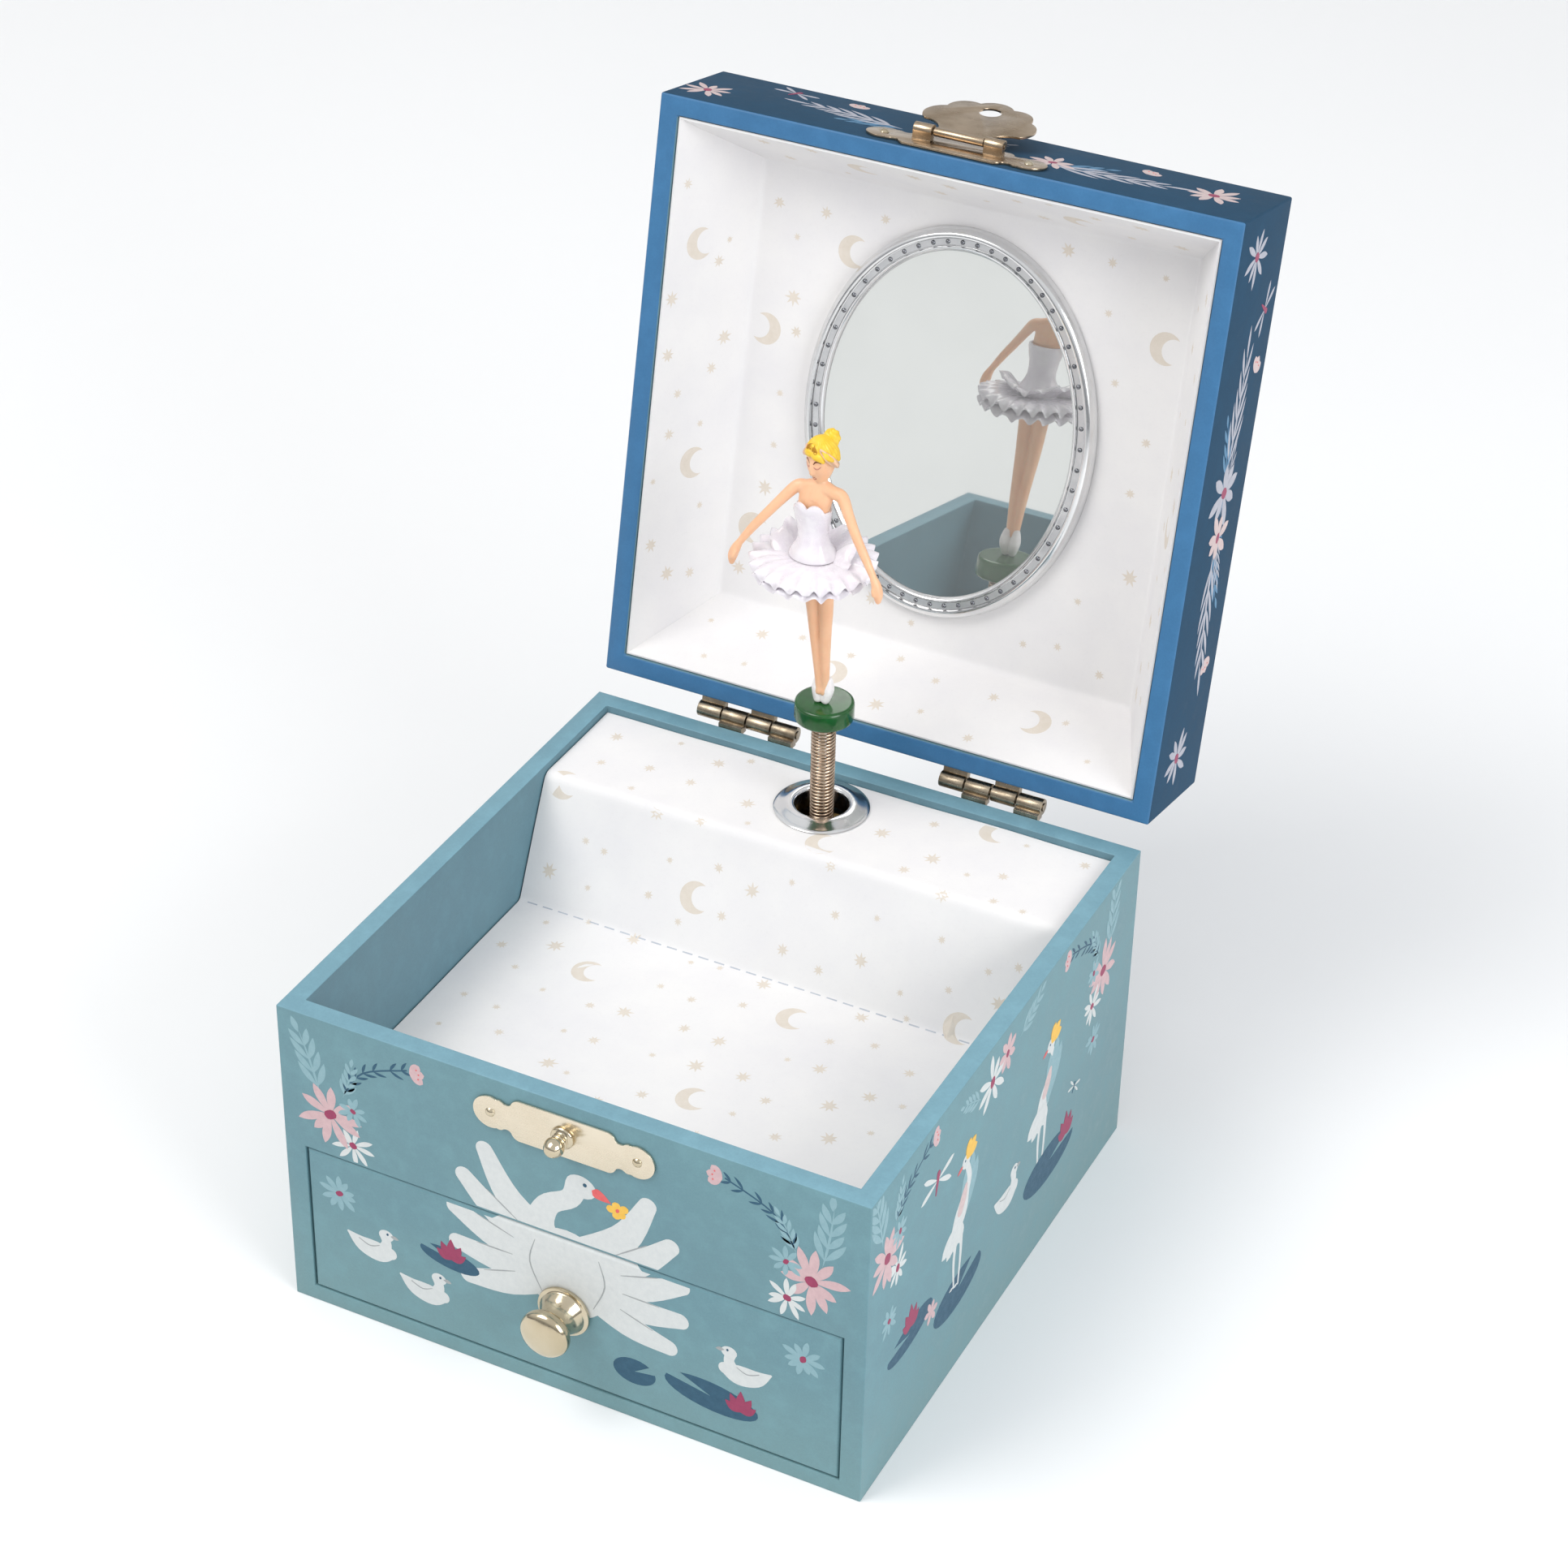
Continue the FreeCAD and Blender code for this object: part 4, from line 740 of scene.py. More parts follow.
def drawer_knob():
    low, high = span("drawer_knob")
    spot = ((low + high) / 2).xz
    profile = [(0, 0.02), (5.0, 0.02), (5.25, 0.2), (5.4, 0.5), (5.3, 0.85), (4.95, 1.0)]
    profile += [(4.7, 1.08), (4.6, 1.25)]
    profile += soft_profile([(4.5, 1.5), (4.2, 2.1), (3.75, 3.0), (3.45, 4.1), (3.45, 5.0), (3.6, 5.6)])
    profile += soft_profile([(3.8, 5.9), (4.5, 6.15), (4.88, 6.7), (4.98, 7.3), (4.9, 7.9), (4.6, 8.4)])
    profile += dome(4.55, 8.45, high.y - low.y - 8.45)[1:]
    bm = lathe(bmesh.new(), profile, (spot.x, -HALF, spot.y), -Y_AXIS, 72)
    piece("knob", bm, "drawer", GOLD, ["drawer_knob"], sharp=50)


def catch_stud():
    low, high = span("catch_stud")
    spot = ((low + high) / 2).xz
    profile = [(0, -2.6), (1.0, -2.6), (1.0, 0.5), (2.15, 0.5), (2.3, 0.7), (2.25, 0.95)]
    profile += [(2.0, 1.12), (1.6, 1.2)]
    profile += [(1.5, 1.35), (1.65, 1.5), (1.68, 1.7), (1.5, 1.82), (1.5, 1.95), (1.66, 2.08), (1.68, 2.28)]
    profile += [(1.5, 2.4), (1.48, 2.55)]
    profile += soft_profile([(1.7, 2.8), (1.92, 3.3), (1.9, 3.9), (1.65, 4.6), (1.2, 5.2)])
    profile += dome(1.15, 5.25, 0.33)[1:]
    bm = lathe(bmesh.new(), profile, (spot.x, -HALF, spot.y), -Y_AXIS, 48)
    piece("stud", bm, "case", GOLD, ["catch_stud"], sharp=50)


def eyelet():
    """Rolled bright eyelet round the spindle's hole."""
    flange = span("shelf_grommet")[1].x - SPIN.x
    profile = [
        (5.35, -3.2), (5.35, 0.5), (5.45, 1.0), (5.7, 1.32), (6.1, 1.45), (6.6, 1.42), (7.4, 1.15),
        (8.2, 0.82), (8.9, 0.62), (9.3, 0.52), (flange - 0.02, 0.32), (flange - 0.1, 0.12),
        (flange - 0.5, 0.12), (5.9, 0.12), (5.9, -2.5), (7.1, -2.52), (7.2, -2.9), (6.9, -3.25), (6.2, -3.4),
    ]
    bm = ring_lathe(bmesh.new(), profile, (SPIN.x, SPIN.y, SHELF_Z), Z_AXIS)
    piece("eyelet", bm, "case", CHROME, ["shelf_grommet"], sharp=45)


def spindle_spring():
    """Close-wound spring, built straight."""
    low, high = spring_low, spring_high
    radius = (high.x - low.x) / 2
    wire = 0.28
    pitch = 0.78
    height = high.z - low.z - 2 * wire
    turns = round(height / pitch)
    per_turn = 28
    count = turns * per_turn
    rings = []
    for k in range(count + 1):
        angle = TAU * k / per_turn
        outward = Vector((math.cos(angle), math.sin(angle), 0))
        z = low.z + wire + height * k / count
        centre = Vector((SPIN.x, SPIN.y, z)) + outward * (radius - wire)
        rings.append([centre + outward * wire * math.cos(t) + Z_AXIS * wire * math.sin(t)
                      for t in (TAU * j / 8 for j in range(8))])
    bm = bmesh.new()
    bridge(bm, rings)
    coil = piece("spindle_spring", bm, None, WIRE, ["ballerina_spring"], sharp=60)
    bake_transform(coil)


def stand():
    """Glossy green disc under the dancer."""
    radius = (stand_high.x - stand_low.x) / 2
    plug = 1.7
    foot = stand_low.z + 2.2
    height = SOLE_Z - foot
    profile = [(0, -2.2), (plug, -2.2), (plug, 0)]
    profile += [(radius - 0.75, 0), (radius - 0.35, 0.08), (radius - 0.1, 0.3), (radius, 0.65)]
    profile += [(radius, height - 0.7), (radius - 0.1, height - 0.3), (radius - 0.35, height - 0.08)]
    profile += [(radius - 0.75, height), (0, height)]
    bm = lathe(bmesh.new(), profile, (SPIN.x, SPIN.y, foot), Z_AXIS, 72)
    piece("green_stand", bm, "dancer", GREEN, ["figure_stand"], sharp=50)


DRAWER_EDGE = 0.9


def over_edge(u, v, height):
    """Point on the drawer's rounded top edge; v runs in degrees from its face to its top."""
    turn = math.radians(v)
    reach = DRAWER_EDGE + height
    y = drawer_low.y + PAPER_GAP + DRAWER_EDGE - reach * math.cos(turn)
    return Vector((u, y, drawer_high.z - DRAWER_EDGE + reach * math.sin(turn)))


def painted_edge():
    """White paint of the print carried over the drawer's edge."""
    bm = bmesh.new()
    step = 15
    for k in range(90 // step):
        low = step * k
        high = low + step
        wide = 15.5 - 0.3 * k
        slab(bm, [(-wide, low), (wide, low), (wide - 0.3, high), (0.3 - wide, high)], over_edge, 0.03)
    bmesh.ops.remove_doubles(bm, verts=bm.verts, dist=0.0001)
    piece("drawer_print_edge", bm, "drawer", INKS["white"], sharp=60)


def drawer_box():
    low, high = drawer_low, drawer_high
    front = block(low.x, high.x, low.y + PAPER_GAP, high.y, low.z, high.z)
    front = round_edges(front, DRAWER_EDGE, segments=5,
                        only=lambda edge: all(v.co.y < low.y + 1 for v in edge.verts))
    piece("drawer_face", front, "drawer", [CASE, WHITE_PAPER], ["drawer_front"],
          pick=lambda face: 1 if face.normal.y > 0.9 else 0)
    for node in ("drawer_left_side", "drawer_right_side", "drawer_back", "drawer_bottom"):
        softened(node, 0.35, WHITE_PAPER, "drawer")


def small_metal():
    """Rounded copies of the sheet-metal pieces, and materials for what stays as the frame has it."""
    # The hasp's plate and flap take the darker gold, painted shade.
    for node, used, body in (("catch_plate", BRUSHED_GOLD, "case"), ("hasp_plate", GOLD_PAINTED_SHADE, "lid"),
                             ("hasp_flap", GOLD_PAINTED_SHADE, "hasp")):
        softened(node, 0.18, used, body)
    for side in ("left", "right"):
        softened(f"hinge_{side}_base_leaf", 0.12, NICKEL, "case")
        softened(f"hinge_{side}_lid_leaf", 0.12, NICKEL, "lid")
    softened("winding_key", 0.3, GOLD, "winding")
    softened("movement_partition", 0.2, BOARD, "case")
    softened("shelf_board", 0.2, BOARD, "case")
    softened("tray_floor_board", 0.2, BOARD, "case")
    kept = {
        NICKEL: ["hinge_pins", "hasp_pin"],
        GOLD: ["base_fixing_nails", "lid_fixing_nails"],
        ZINC: ["movement_bedplate"],
        STEEL: ["movement_screws", "frame_screws", "comb", "mainspring", "winding_arbor", "ratchet_wheel",
                "ratchet_click", "cylinder_arbor", "governor_worm", "drawer_knob_screw"],
        BRASS: ["top_bridge", "governor_bracket", "spring_barrel", "pin_cylinder", "cylinder_wheel",
                "idler_wheel"],
        BOARD: ["mirror_backing"],
    }
    for used, nodes in kept.items():
        for node in nodes:
            dress_node(node, used)


# ---- prints: flat shapes laid on the paper ----
def slab(bm, outline, place, thickness, depth=0.06):
    """Closed thin plate with the given outline; place turns (u, v, height) into a point."""
    count = len(outline)
    top = [bm.verts.new(place(u, v, thickness)) for u, v in outline]
    under = [bm.verts.new(place(u, v, -depth)) for u, v in outline]
    faces = [bm.faces.new(top), bm.faces.new(under[::-1])]
    for i in range(count):
        j = (i + 1) % count
        bm.faces.new((top[i], under[i], under[j], top[j]))
    for face in faces:
        face.normal_update()
    bmesh.ops.triangulate(bm, faces=faces, ngon_method="EAR_CLIP")


def leaf(x, y, angle, length, width, bend=0, belly=0.5, blunt=0.0, steps=8):
    """Outline of a leaf, petal or feather growing from (x, y); bend turns it along its length."""
    left = []
    right = []
    spot = Vector((x, y))
    for k in range(steps + 1):
        t = k / steps
        if t < belly:
            share = math.sin(math.pi / 2 * t / belly)
        else:
            past = (t - belly) / (1 - belly)
            share = (1 - blunt) * math.cos(math.pi / 2 * past) + blunt * math.sqrt(max(0, 1 - past * past))
        heading = math.radians(angle + bend * t)
        side = Vector((-math.sin(heading), math.cos(heading))) * width / 2 * share
        if 0 < k < steps:
            left.append(tuple(spot + side))
            right.append(tuple(spot - side))
        else:
            left.append(tuple(spot))
        spot = spot + Vector((math.cos(heading), math.sin(heading))) * length / steps
    return left + right[::-1]


def oval(x, y, rx, ry, turn=0.0, sides=20, wobble=0.0):
    out = []
    for k in range(sides):
        angle = TAU * k / sides
        size = 1 + wobble * math.sin(3 * angle + x) * math.cos(5 * angle + y)
        spot = Vector((rx * size * math.cos(angle), ry * size * math.sin(angle)))
        spot.rotate(Matrix.Rotation(math.radians(turn), 2))
        out.append((x + spot.x, y + spot.y))
    return out


def stroke(points, widths, steps=5):
    """Outline of a brush stroke along a smooth path, with round ends."""
    centres = [Vector((p.x, p.y)) for p in through([(px, py, 0) for px, py in points], steps)]
    sizes = [p.x / 2 for p in through([(w, 0, 0) for w in widths], steps)]
    left = []
    right = []
    last = len(centres) - 1
    quarter = [math.radians(90 - 18 * k) for k in range(6)]
    for i, centre in enumerate(centres):
        ahead = (centres[min(i + 1, last)] - centres[max(i - 1, 0)]).normalized()
        side = Vector((-ahead.y, ahead.x)) * sizes[i]
        reach = ahead * sizes[i]

        def cap(way, hand, turns):
            """Points of the round end: way is -1 at the start and 1 at the end, hand is the side."""
            return [tuple(centre + reach * way * math.sin(t) + side * hand * math.cos(t)) for t in turns]

        if i == 0:
            left += cap(-1, 1, quarter[:-1])
            right += cap(-1, -1, quarter[1:-1])
        left.append(tuple(centre + side))
        right.append(tuple(centre - side))
        if i == last:
            left += cap(1, 1, quarter[-2::-1])
            right += cap(1, -1, quarter[-2:0:-1])
    return left + right[::-1]


def clipped(outline, keep):
    """Part of an outline for which keep, a signed distance, is positive."""
    out = []
    for a, b in zip(outline, outline[1:] + outline[:1]):
        da = keep(*a)
        db = keep(*b)
        if da >= 0:
            out.append(a)
        if (da > 0) != (db > 0) and abs(da - db) > 1e-9:
            t = da / (da - db)
            out.append((a[0] + (b[0] - a[0]) * t, a[1] + (b[1] - a[1]) * t))
    return out


class Print:
    """Shapes printed on one surface, gathered by ink."""

    def __init__(self, name, body, place, limits, matrix=FLAT):
        self.name = name
        self.body = body
        self.place = place
        self.limits = limits
        self.matrix = matrix
        self.inks = {}
        self.count = 0

    def shape(self, ink, outline, layer=0):
        left, right, bottom, top = self.limits
        outline = clipped(outline, lambda u, v: u - left)
        outline = clipped(outline, lambda u, v: right - u)
        outline = clipped(outline, lambda u, v: v - bottom)
        outline = clipped(outline, lambda u, v: top - v)
        if len(outline) < 3:
            return
        self.count += 1
        height = 0.008 + 0.024 * layer + 0.0006 * (self.count % 40)
        slab(self.inks.setdefault(ink, bmesh.new()), outline, self.place, height)

    def done(self):
        for ink, bm in self.inks.items():
            piece(f"{self.name}_{ink}", bm, self.body, INKS[ink], place=self.matrix)


def along(x, y, heading, reach):
    """The point at a distance from (x, y), with the heading in degrees."""
    turn = math.radians(heading)
    return x + reach * math.cos(turn), y + reach * math.sin(turn)


def daisy(art, x, y, size, petals, ink, heart="maroon", width=0.36, blunt=0.5, layer=0):
    turn = rng.uniform(0, 360)
    for k in range(petals):
        angle = turn + 360 * k / petals + rng.uniform(-9, 9)
        reach = size * rng.uniform(0.78, 1.08)
        art.shape(ink, leaf(x, y, angle, reach, size * width, rng.uniform(-14, 14), 0.62, blunt), layer)
    if heart:
        art.shape(heart, oval(x, y, size * 0.15, size * 0.19, rng.uniform(0, 180), 12, 0.1), 2)


def plume(art, x, y, angle, length, ink="pale", pairs=4, bend=10, reach=0.44, width=0.095, spread=36):
    """Feathery leaf: a stalk with long paired leaflets."""
    art.shape(ink, leaf(x, y, angle, length, length * 0.035, bend, 0.3))
    for k in range(pairs):
        t = 0.12 + 0.78 * k / pairs
        root = along(x, y, angle + bend * t / 2, length * t)
        size = length * reach * (1 - 0.45 * t) * rng.uniform(0.85, 1.1)
        for side in (-1, 1):
            lean = angle + bend * t + side * spread
            art.shape(ink, leaf(*root, lean, size, length * width, -side * 16, 0.5, 0.2))
    root = along(x, y, angle + bend / 2, length * 0.9)
    art.shape(ink, leaf(*root, angle + bend, length * 0.24, length * width, 0, 0.5, 0.2))


def sprig(art, points, ink="navy", pairs=7, size=2.9, width=0.6, stem=0.36):
    """Curved twig with small paired leaves."""
    path = through([(px, py, 0) for px, py in points], 12)
    art.shape(ink, stroke(points, [stem] * len(points)))
    for k in range(pairs):
        i = round((k + 0.7) / pairs * (len(path) - 2))
        ahead = path[i + 1] - path[i]
        angle = math.degrees(math.atan2(ahead.y, ahead.x))
        for side in (-1, 1):
            lean = angle + side * rng.uniform(38, 52)
            reach = size * rng.uniform(0.8, 1.1)
            art.shape(ink, leaf(path[i].x, path[i].y, lean, reach, width, -side * 25, 0.45, 0.4))


def bud(art, x, y, size, angle, ink="pink"):
    """Closed flower of three petals with a dot on each."""
    for lean in (-38, 0, 38):
        art.shape(ink, leaf(x, y, angle + lean, size, size * 0.62, 0, 0.6, 0.9))
        tip = along(x, y, angle + lean * 0.8, size * 0.62)
        art.shape("coral", oval(*tip, 0.16, 0.16), 2)


def lily(art, x, y, size, angle=90, ink="maroon"):
    """Water lily of five pointed petals."""
    for lean, reach in ((-68, 0.8), (-34, 0.95), (0, 1.1), (34, 0.95), (68, 0.8)):
        art.shape(ink, leaf(x, y, angle + lean, size * reach, size * 0.42, -lean * 0.3, 0.42), 1)


def pad(art, x, y, rx, ry, turn=0.0, notch=150):
    """Floating leaf with a cut in its edge."""
    outline = [(x, y)]
    for k in range(25):
        angle = math.radians(notch + 16 + 328 * k / 24)
        spot = Vector((rx * math.cos(angle), ry * math.sin(angle)))
        spot.rotate(Matrix.Rotation(math.radians(turn), 2))
        outline.append((x + spot.x, y + spot.y))
    art.shape("navy", outline)


def duckling(art, x, y, size, facing):
    """Small white water bird."""

    def at(px, py):
        return x + px * size * facing, y + py * size

    back = [at(-5.2, 0.9), at(-2.4, -0.9), at(1.0, -1.5), at(3.4, -1.0)]
    neck = [at(2.2, -0.6), at(2.7, 1.2), at(2.3, 2.6)]
    for path, widths in ((back, (0.5, 3.6, 4.4, 2.6)), (neck, (2.8, 2.0, 1.9))):
        art.shape("white", stroke(path, [size * w for w in widths]))
    art.shape("white", oval(*at(2.7, 2.9), size * 1.5, size * 1.25))
    art.shape("grey", leaf(*at(3.6, 3.1), 0 if facing > 0 else 180, size * 1.7, size * 0.8, -20 * facing), 1)
    art.shape("grey", stroke([at(-3.0, 0.2), at(-0.8, -0.7), at(1.2, 0.1)], [0.2, 0.24, 0.12]), 1)
    art.shape("navy", oval(*at(3.0, 3.3), size * 0.22, size * 0.26), 2)


def swan(art):
    """Plain swan seen breast on: an even fan of feathers on each side and a neck in an S."""
    feathers = 5
    top_angle = 52
    fan = 76
    for side in (-1, 1):
        for k in range(feathers):
            share = k / (feathers - 1)
            angle = top_angle - fan * share
            heading = angle if side > 0 else 180 - angle
            root = (side * (2.5 + 1.5 * share), 34 - 6 * share)
            reach = 23 - 4.5 * share
            feather = [root, along(*root, heading - 9 * side, reach * 0.55), along(*root, heading, reach)]
            art.shape("white", stroke(feather, [8.5, 6.0, 3.6]))
            if k:
                between = heading + side * fan / 2 / (feathers - 1) - 5 * side
                vein = [along(*root, between, reach * part) for part in (0.4, 0.6, 0.78)]
                art.shape("grey", stroke(vein, [0.12, 0.32, 0.12]), 1)
    art.shape("white", oval(0, 29.6, 9.4, 10.2, 0, 32))
    neck = [(0, 32), (-5.2, 38), (-3.8, 44.2), (0.8, 47.6), (2.2, 51)]
    art.shape("white", stroke(neck, [13, 7, 4.6, 4.0, 4.4]))
    art.shape("white", oval(3.2, 51.2, 3.1, 2.5, -12))
    art.shape("coral", leaf(5.4, 51.3, -22, 4.2, 2.2, 0, 0.2), 1)
    art.shape("navy", oval(4.0, 51.9, 0.42, 0.42, 0, 10), 2)
    for side in (-1, 1):
        breast = [(side * 6.6, 35), (side * 7.8, 29.4), (side * 5.4, 23.2)]
        art.shape("grey", stroke(breast, [0.12, 0.3, 0.12]), 1)
    daisy(art, 10.6, 48.6, 2.4, 5, "yellow", "coral", 0.7, 0.9)


def crane(art, x, y, lean=1):
    """Standing long-legged bird with a yellow crest."""

    def at(px, py):
        return x + px * lean, y + py

    side = 0 if lean > 0 else 180
    for angle, reach in ((60, 13), (72, 15), (84, 12)):
        heading = angle if lean > 0 else 180 - angle
        art.shape("pale", leaf(*at(1.6, 14), heading, reach, 3.4, 12 * lean, 0.6, 0.6))
    for angle, reach in ((215, 8.5), (235, 8), (255, 6.5), (280, 6)):
        heading = angle if lean > 0 else 180 - angle
        art.shape("white", leaf(*at(0, 15.5), heading, reach, 3.6, -8 * lean, 0.6, 0.7))
    for start, knee, foot in (((-0.8, 13), (-1.6, 6.5), (-1.0, 0)), ((1.2, 13), (1.4, 6.5), (0.9, -0.4))):
        art.shape("white", stroke([at(*start), at(*knee), at(*foot)], [1.5, 1.0, 0.6]))
        art.shape("white", leaf(*at(foot[0], foot[1] + 0.2), 180 - side, 2.0, 0.6))
    art.shape("white", stroke([at(-2.2, 13), at(0.4, 16.5), at(2.4, 20.5)], [3.5, 5.6, 3.0]))
    art.shape("rose", stroke([at(0.2, 17.5), at(1.4, 20.0), at(2.2, 22.0)], [2.4, 2.8, 1.4]), 1)
    art.shape("white", stroke([at(2.2, 20), at(3.6, 23), at(2.6, 26.2), at(1.8, 27.6)], [2.8, 2.0, 1.7, 1.8]))
    art.shape("white", oval(*at(1.7, 28.2), 1.8, 1.6), 1)
    for angle, reach in ((20, 4.6), (48, 5.0), (78, 4.4)):
        heading = angle if lean > 0 else 180 - angle
        art.shape("yellow", leaf(*at(1.8, 28.4), heading, reach, 2.2, -18 * lean, 0.6, 0.6), 2)
    art.shape("coral", leaf(*at(0.4, 28.0), 195 if lean > 0 else -15, 2.6, 0.8), 1)
    art.shape("navy", oval(*at(1.2, 28.5), 0.26, 0.26), 2)


def dragonfly(art, x, y, size, angle, wings="white", body="maroon"):
    """Four narrow wings on a short tapering body."""
    for lean in (70, 110, -70, -110):
        art.shape(wings, leaf(x, y, angle + lean, size, size * 0.17, 0, 0.7, 0.6))
    ends = [along(x, y, angle, -size * 0.45), along(x, y, angle, size * 0.2)]
    art.shape(body, stroke(ends, [size * 0.06, size * 0.2]), 1)


def bouquet(art, x, y, flip=1, rise=16.6):
    """Corner spray: feathery leaf, pink and white flowers, twig and bud."""
    plume(art, x - 2 * flip, y + 4, 90 + 12 * flip, 15)
    plume(art, x + 3 * flip, y + 5, 90 - 20 * flip, 9)
    daisy(art, x, y, 7.2, 10, "pink", "maroon", 0.27, 0.25)
    daisy(art, x + 5 * flip, y + 2.6, 3.4, 8, "pale", "maroon", 0.32)
    daisy(art, x + 4.6 * flip, y - 5.6, 4.6, 9, "white", "maroon", 0.24, 0.3)
    sprig(art, [(x + 3.4 * flip, y + 6.2), (x + 7.6 * flip, y + rise * 0.75), (x + 17 * flip, y + rise)])
    bud(art, x + 17.6 * flip, y + rise - 0.4, 3.2, 90 - 80 * flip)


def on_front(u, v, height):
    return Vector((u, -PAPER_HALF - height, v))


def on_back(u, v, height):
    return Vector((-u, PAPER_HALF + height, v))


def on_right(u, v, height):
    return Vector((PAPER_HALF + height, u, v))


def on_left(u, v, height):
    return Vector((-PAPER_HALF - height, -u, v))


def on_lid_top(u, v, height):
    return Vector((u, v, LID_TOP - PAPER_GAP + height))


# Prints stop short of the rounded edges; limits are left, right, bottom and top.
PRINT_HALF = PAPER_HALF - 0.5
MARGIN = 0.6
CASE_LIMITS = (-PRINT_HALF, PRINT_HALF, MARGIN, BASE_H - MARGIN)
LID_LIMITS = (-PRINT_HALF, PRINT_HALF, LID_Z + MARGIN, LID_TOP - PAPER_GAP - MARGIN)


def front_art():
    """One picture across the front panel and the drawer, drawn twice and cut at the gap between them."""
    edge = drawer_high.z
    above = (-PRINT_HALF, PRINT_HALF, edge + 0.75, BASE_H - MARGIN)
    below = (-54.2, 54.2, 4.6, edge - DRAWER_EDGE)
    for name, body, limits in (("front_print", "case", above), ("drawer_print", "drawer", below)):
        rng.seed(11)
        art = Print(name, body, on_front, limits)
        bouquet(art, -49.5, 47.5)
        bouquet(art, 49, 48, -1)
        swan(art)
        for x, z in ((-48.6, 29), (47.8, 29.3)):
            daisy(art, x, z, 4.3, 10, "pale", "maroon", 0.3)
        duckling(art, -41.6, 19.6, 1.06, 1)
        duckling(art, -30.4, 13.6, 1.06, 1)
        duckling(art, 36, 21.6, 1.06, -1)
        pad(art, -25, 22.6, 6.4, 2.3, -8)
        lily(art, -24.6, 22.6, 4.6)
        pad(art, 13.8, 11.6, 4.4, 3.0, 0, 30)
        pad(art, 29.6, 12.4, 9.6, 3.4, -6)
        lily(art, 35.6, 11.2, 4.6)
        art.done()


def side_art(name, place):
    """Two cranes on lily pads under a garland."""
    rng.seed(23)
    art = Print(name, "case", place, CASE_LIMITS)
    bouquet(art, -52.5, 52, rise=13.6)
    bouquet(art, 44, 50.6, -1, 15)
    daisy(art, -50.6, 36, 3.6, 9, "pale", "maroon", 0.3)
    daisy(art, -32, 23.4, 3.2, 6, "pink", None, 0.4)
    daisy(art, 41.4, 35.6, 3.8, 9, "pale", "maroon", 0.3)
    pad(art, -41, 25.4, 9.5, 3.0, 4)
    lily(art, -41, 27, 5)
    pad(art, -20, 19.4, 10.5, 4.2, 3, 40)
    crane(art, -21, 21.4)
    pad(art, 22, 19, 12, 4.4, -2, 20)
    crane(art, 17.4, 21.4)
    lily(art, 30, 20, 5.4)
    dragonfly(art, -32, 54.5, 7, 80)
    dragonfly(art, 33, 30, 3.2, 60, "white", "navy")
    duckling(art, 1.5, 26.6, 1.1, 1)
    plume(art, -14, 60, 150, 9)
    plume(art, 3, 62.5, 20, 11)
    daisy(art, -9, 60.4, 6.2, 8, "white", "maroon", 0.26)
    daisy(art, -2.6, 62.6, 4.2, 7, "pink", "maroon", 0.4)
    art.done()


def back_art():
    """Water birds and lily pads under two flowers with leaves."""
    rng.seed(31)
    art = Print("back_print", "case", on_back, CASE_LIMITS)
    bouquet(art, -49, 47)
    bouquet(art, 49, 47, -1)
    for x, flip in ((-36, 1), (33, -1)):
        duckling(art, x, 20, 1.15, flip)
        pad(art, x + 13 * flip, 15, 7.5, 2.8)
        lily(art, x + 13 * flip, 15.6, 4.4)
    for x in (-18, 16):
        daisy(art, x, 55, 4.6, 9, "white", "maroon", 0.26)
        plume(art, x + 3, 52, -40, 9)
        plume(art, x - 3, 52, 220, 9)
    art.done()


def spray(art, x, y, angle, length):
    """Frond of the lid's garland: long narrow leaves in pairs, and a darker leaf beside them."""
    plume(art, x, y, angle + 20, length * 0.5, "steel", 3, 8, 0.45, 0.07, 26)
    plume(art, x, y, angle, length, "silver", 5, 8, 0.36, 0.038, 28)


LID_MIDDLE = (LID_Z + LID_TOP) / 2


def lid_front_art():
    rng.seed(43)
    y = LID_MIDDLE
    art = Print("lid_front_print", "lid", on_front, LID_LIMITS, OPENED)
    daisy(art, -54.5, y - 4, 5.6, 9, "rose", "maroon", 0.24, 0.3)
    daisy(art, 48.6, y + 1, 6.2, 9, "rose", "maroon", 0.26, 0.3)
    dragonfly(art, -41, y + 8, 5, 70, "silver", "maroon")
    spray(art, -14, y - 1, 168, 24)
    spray(art, 16, y - 3, 4, 26)
    spray(art, -6, y - 3, 30, 14)
    bud(art, -28, y + 7, 3.2, 80, "rose")
    bud(art, 33, y + 6, 3.2, 60, "rose")
    daisy(art, 17, y - 1, 4.8, 8, "rose", "maroon", 0.3, 0.3, 1)
    art.done()


def lid_side_art(name, place):
    rng.seed(47)
    y = LID_MIDDLE
    art = Print(name, "lid", place, LID_LIMITS, OPENED)
    daisy(art, -51.5, y - 3, 6.0, 9, "silver", "maroon", 0.22, 0.2)
    daisy(art, 49.5, y - 2, 6.2, 9, "silver", "maroon", 0.24, 0.2)
    dragonfly(art, -39.5, y + 7, 5.5, 60, "silver", "maroon")
    bud(art, -27, y + 7, 3.4, 150, "rose")
    bud(art, 31, y + 6, 3.4, 20, "rose")
    for x, angle, length in ((-7, 174, 27), (7, 4, 28), (0, 162, 13), (2, 18, 14)):
        spray(art, x, y, angle, length)
    daisy(art, -4.6, y + 0.5, 7.6, 8, "silver", "maroon", 0.3, 0.4, 1)
    daisy(art, 4.6, y + 1, 5.6, 7, "rose", "maroon", 0.36, 0.4, 1)
    art.done()


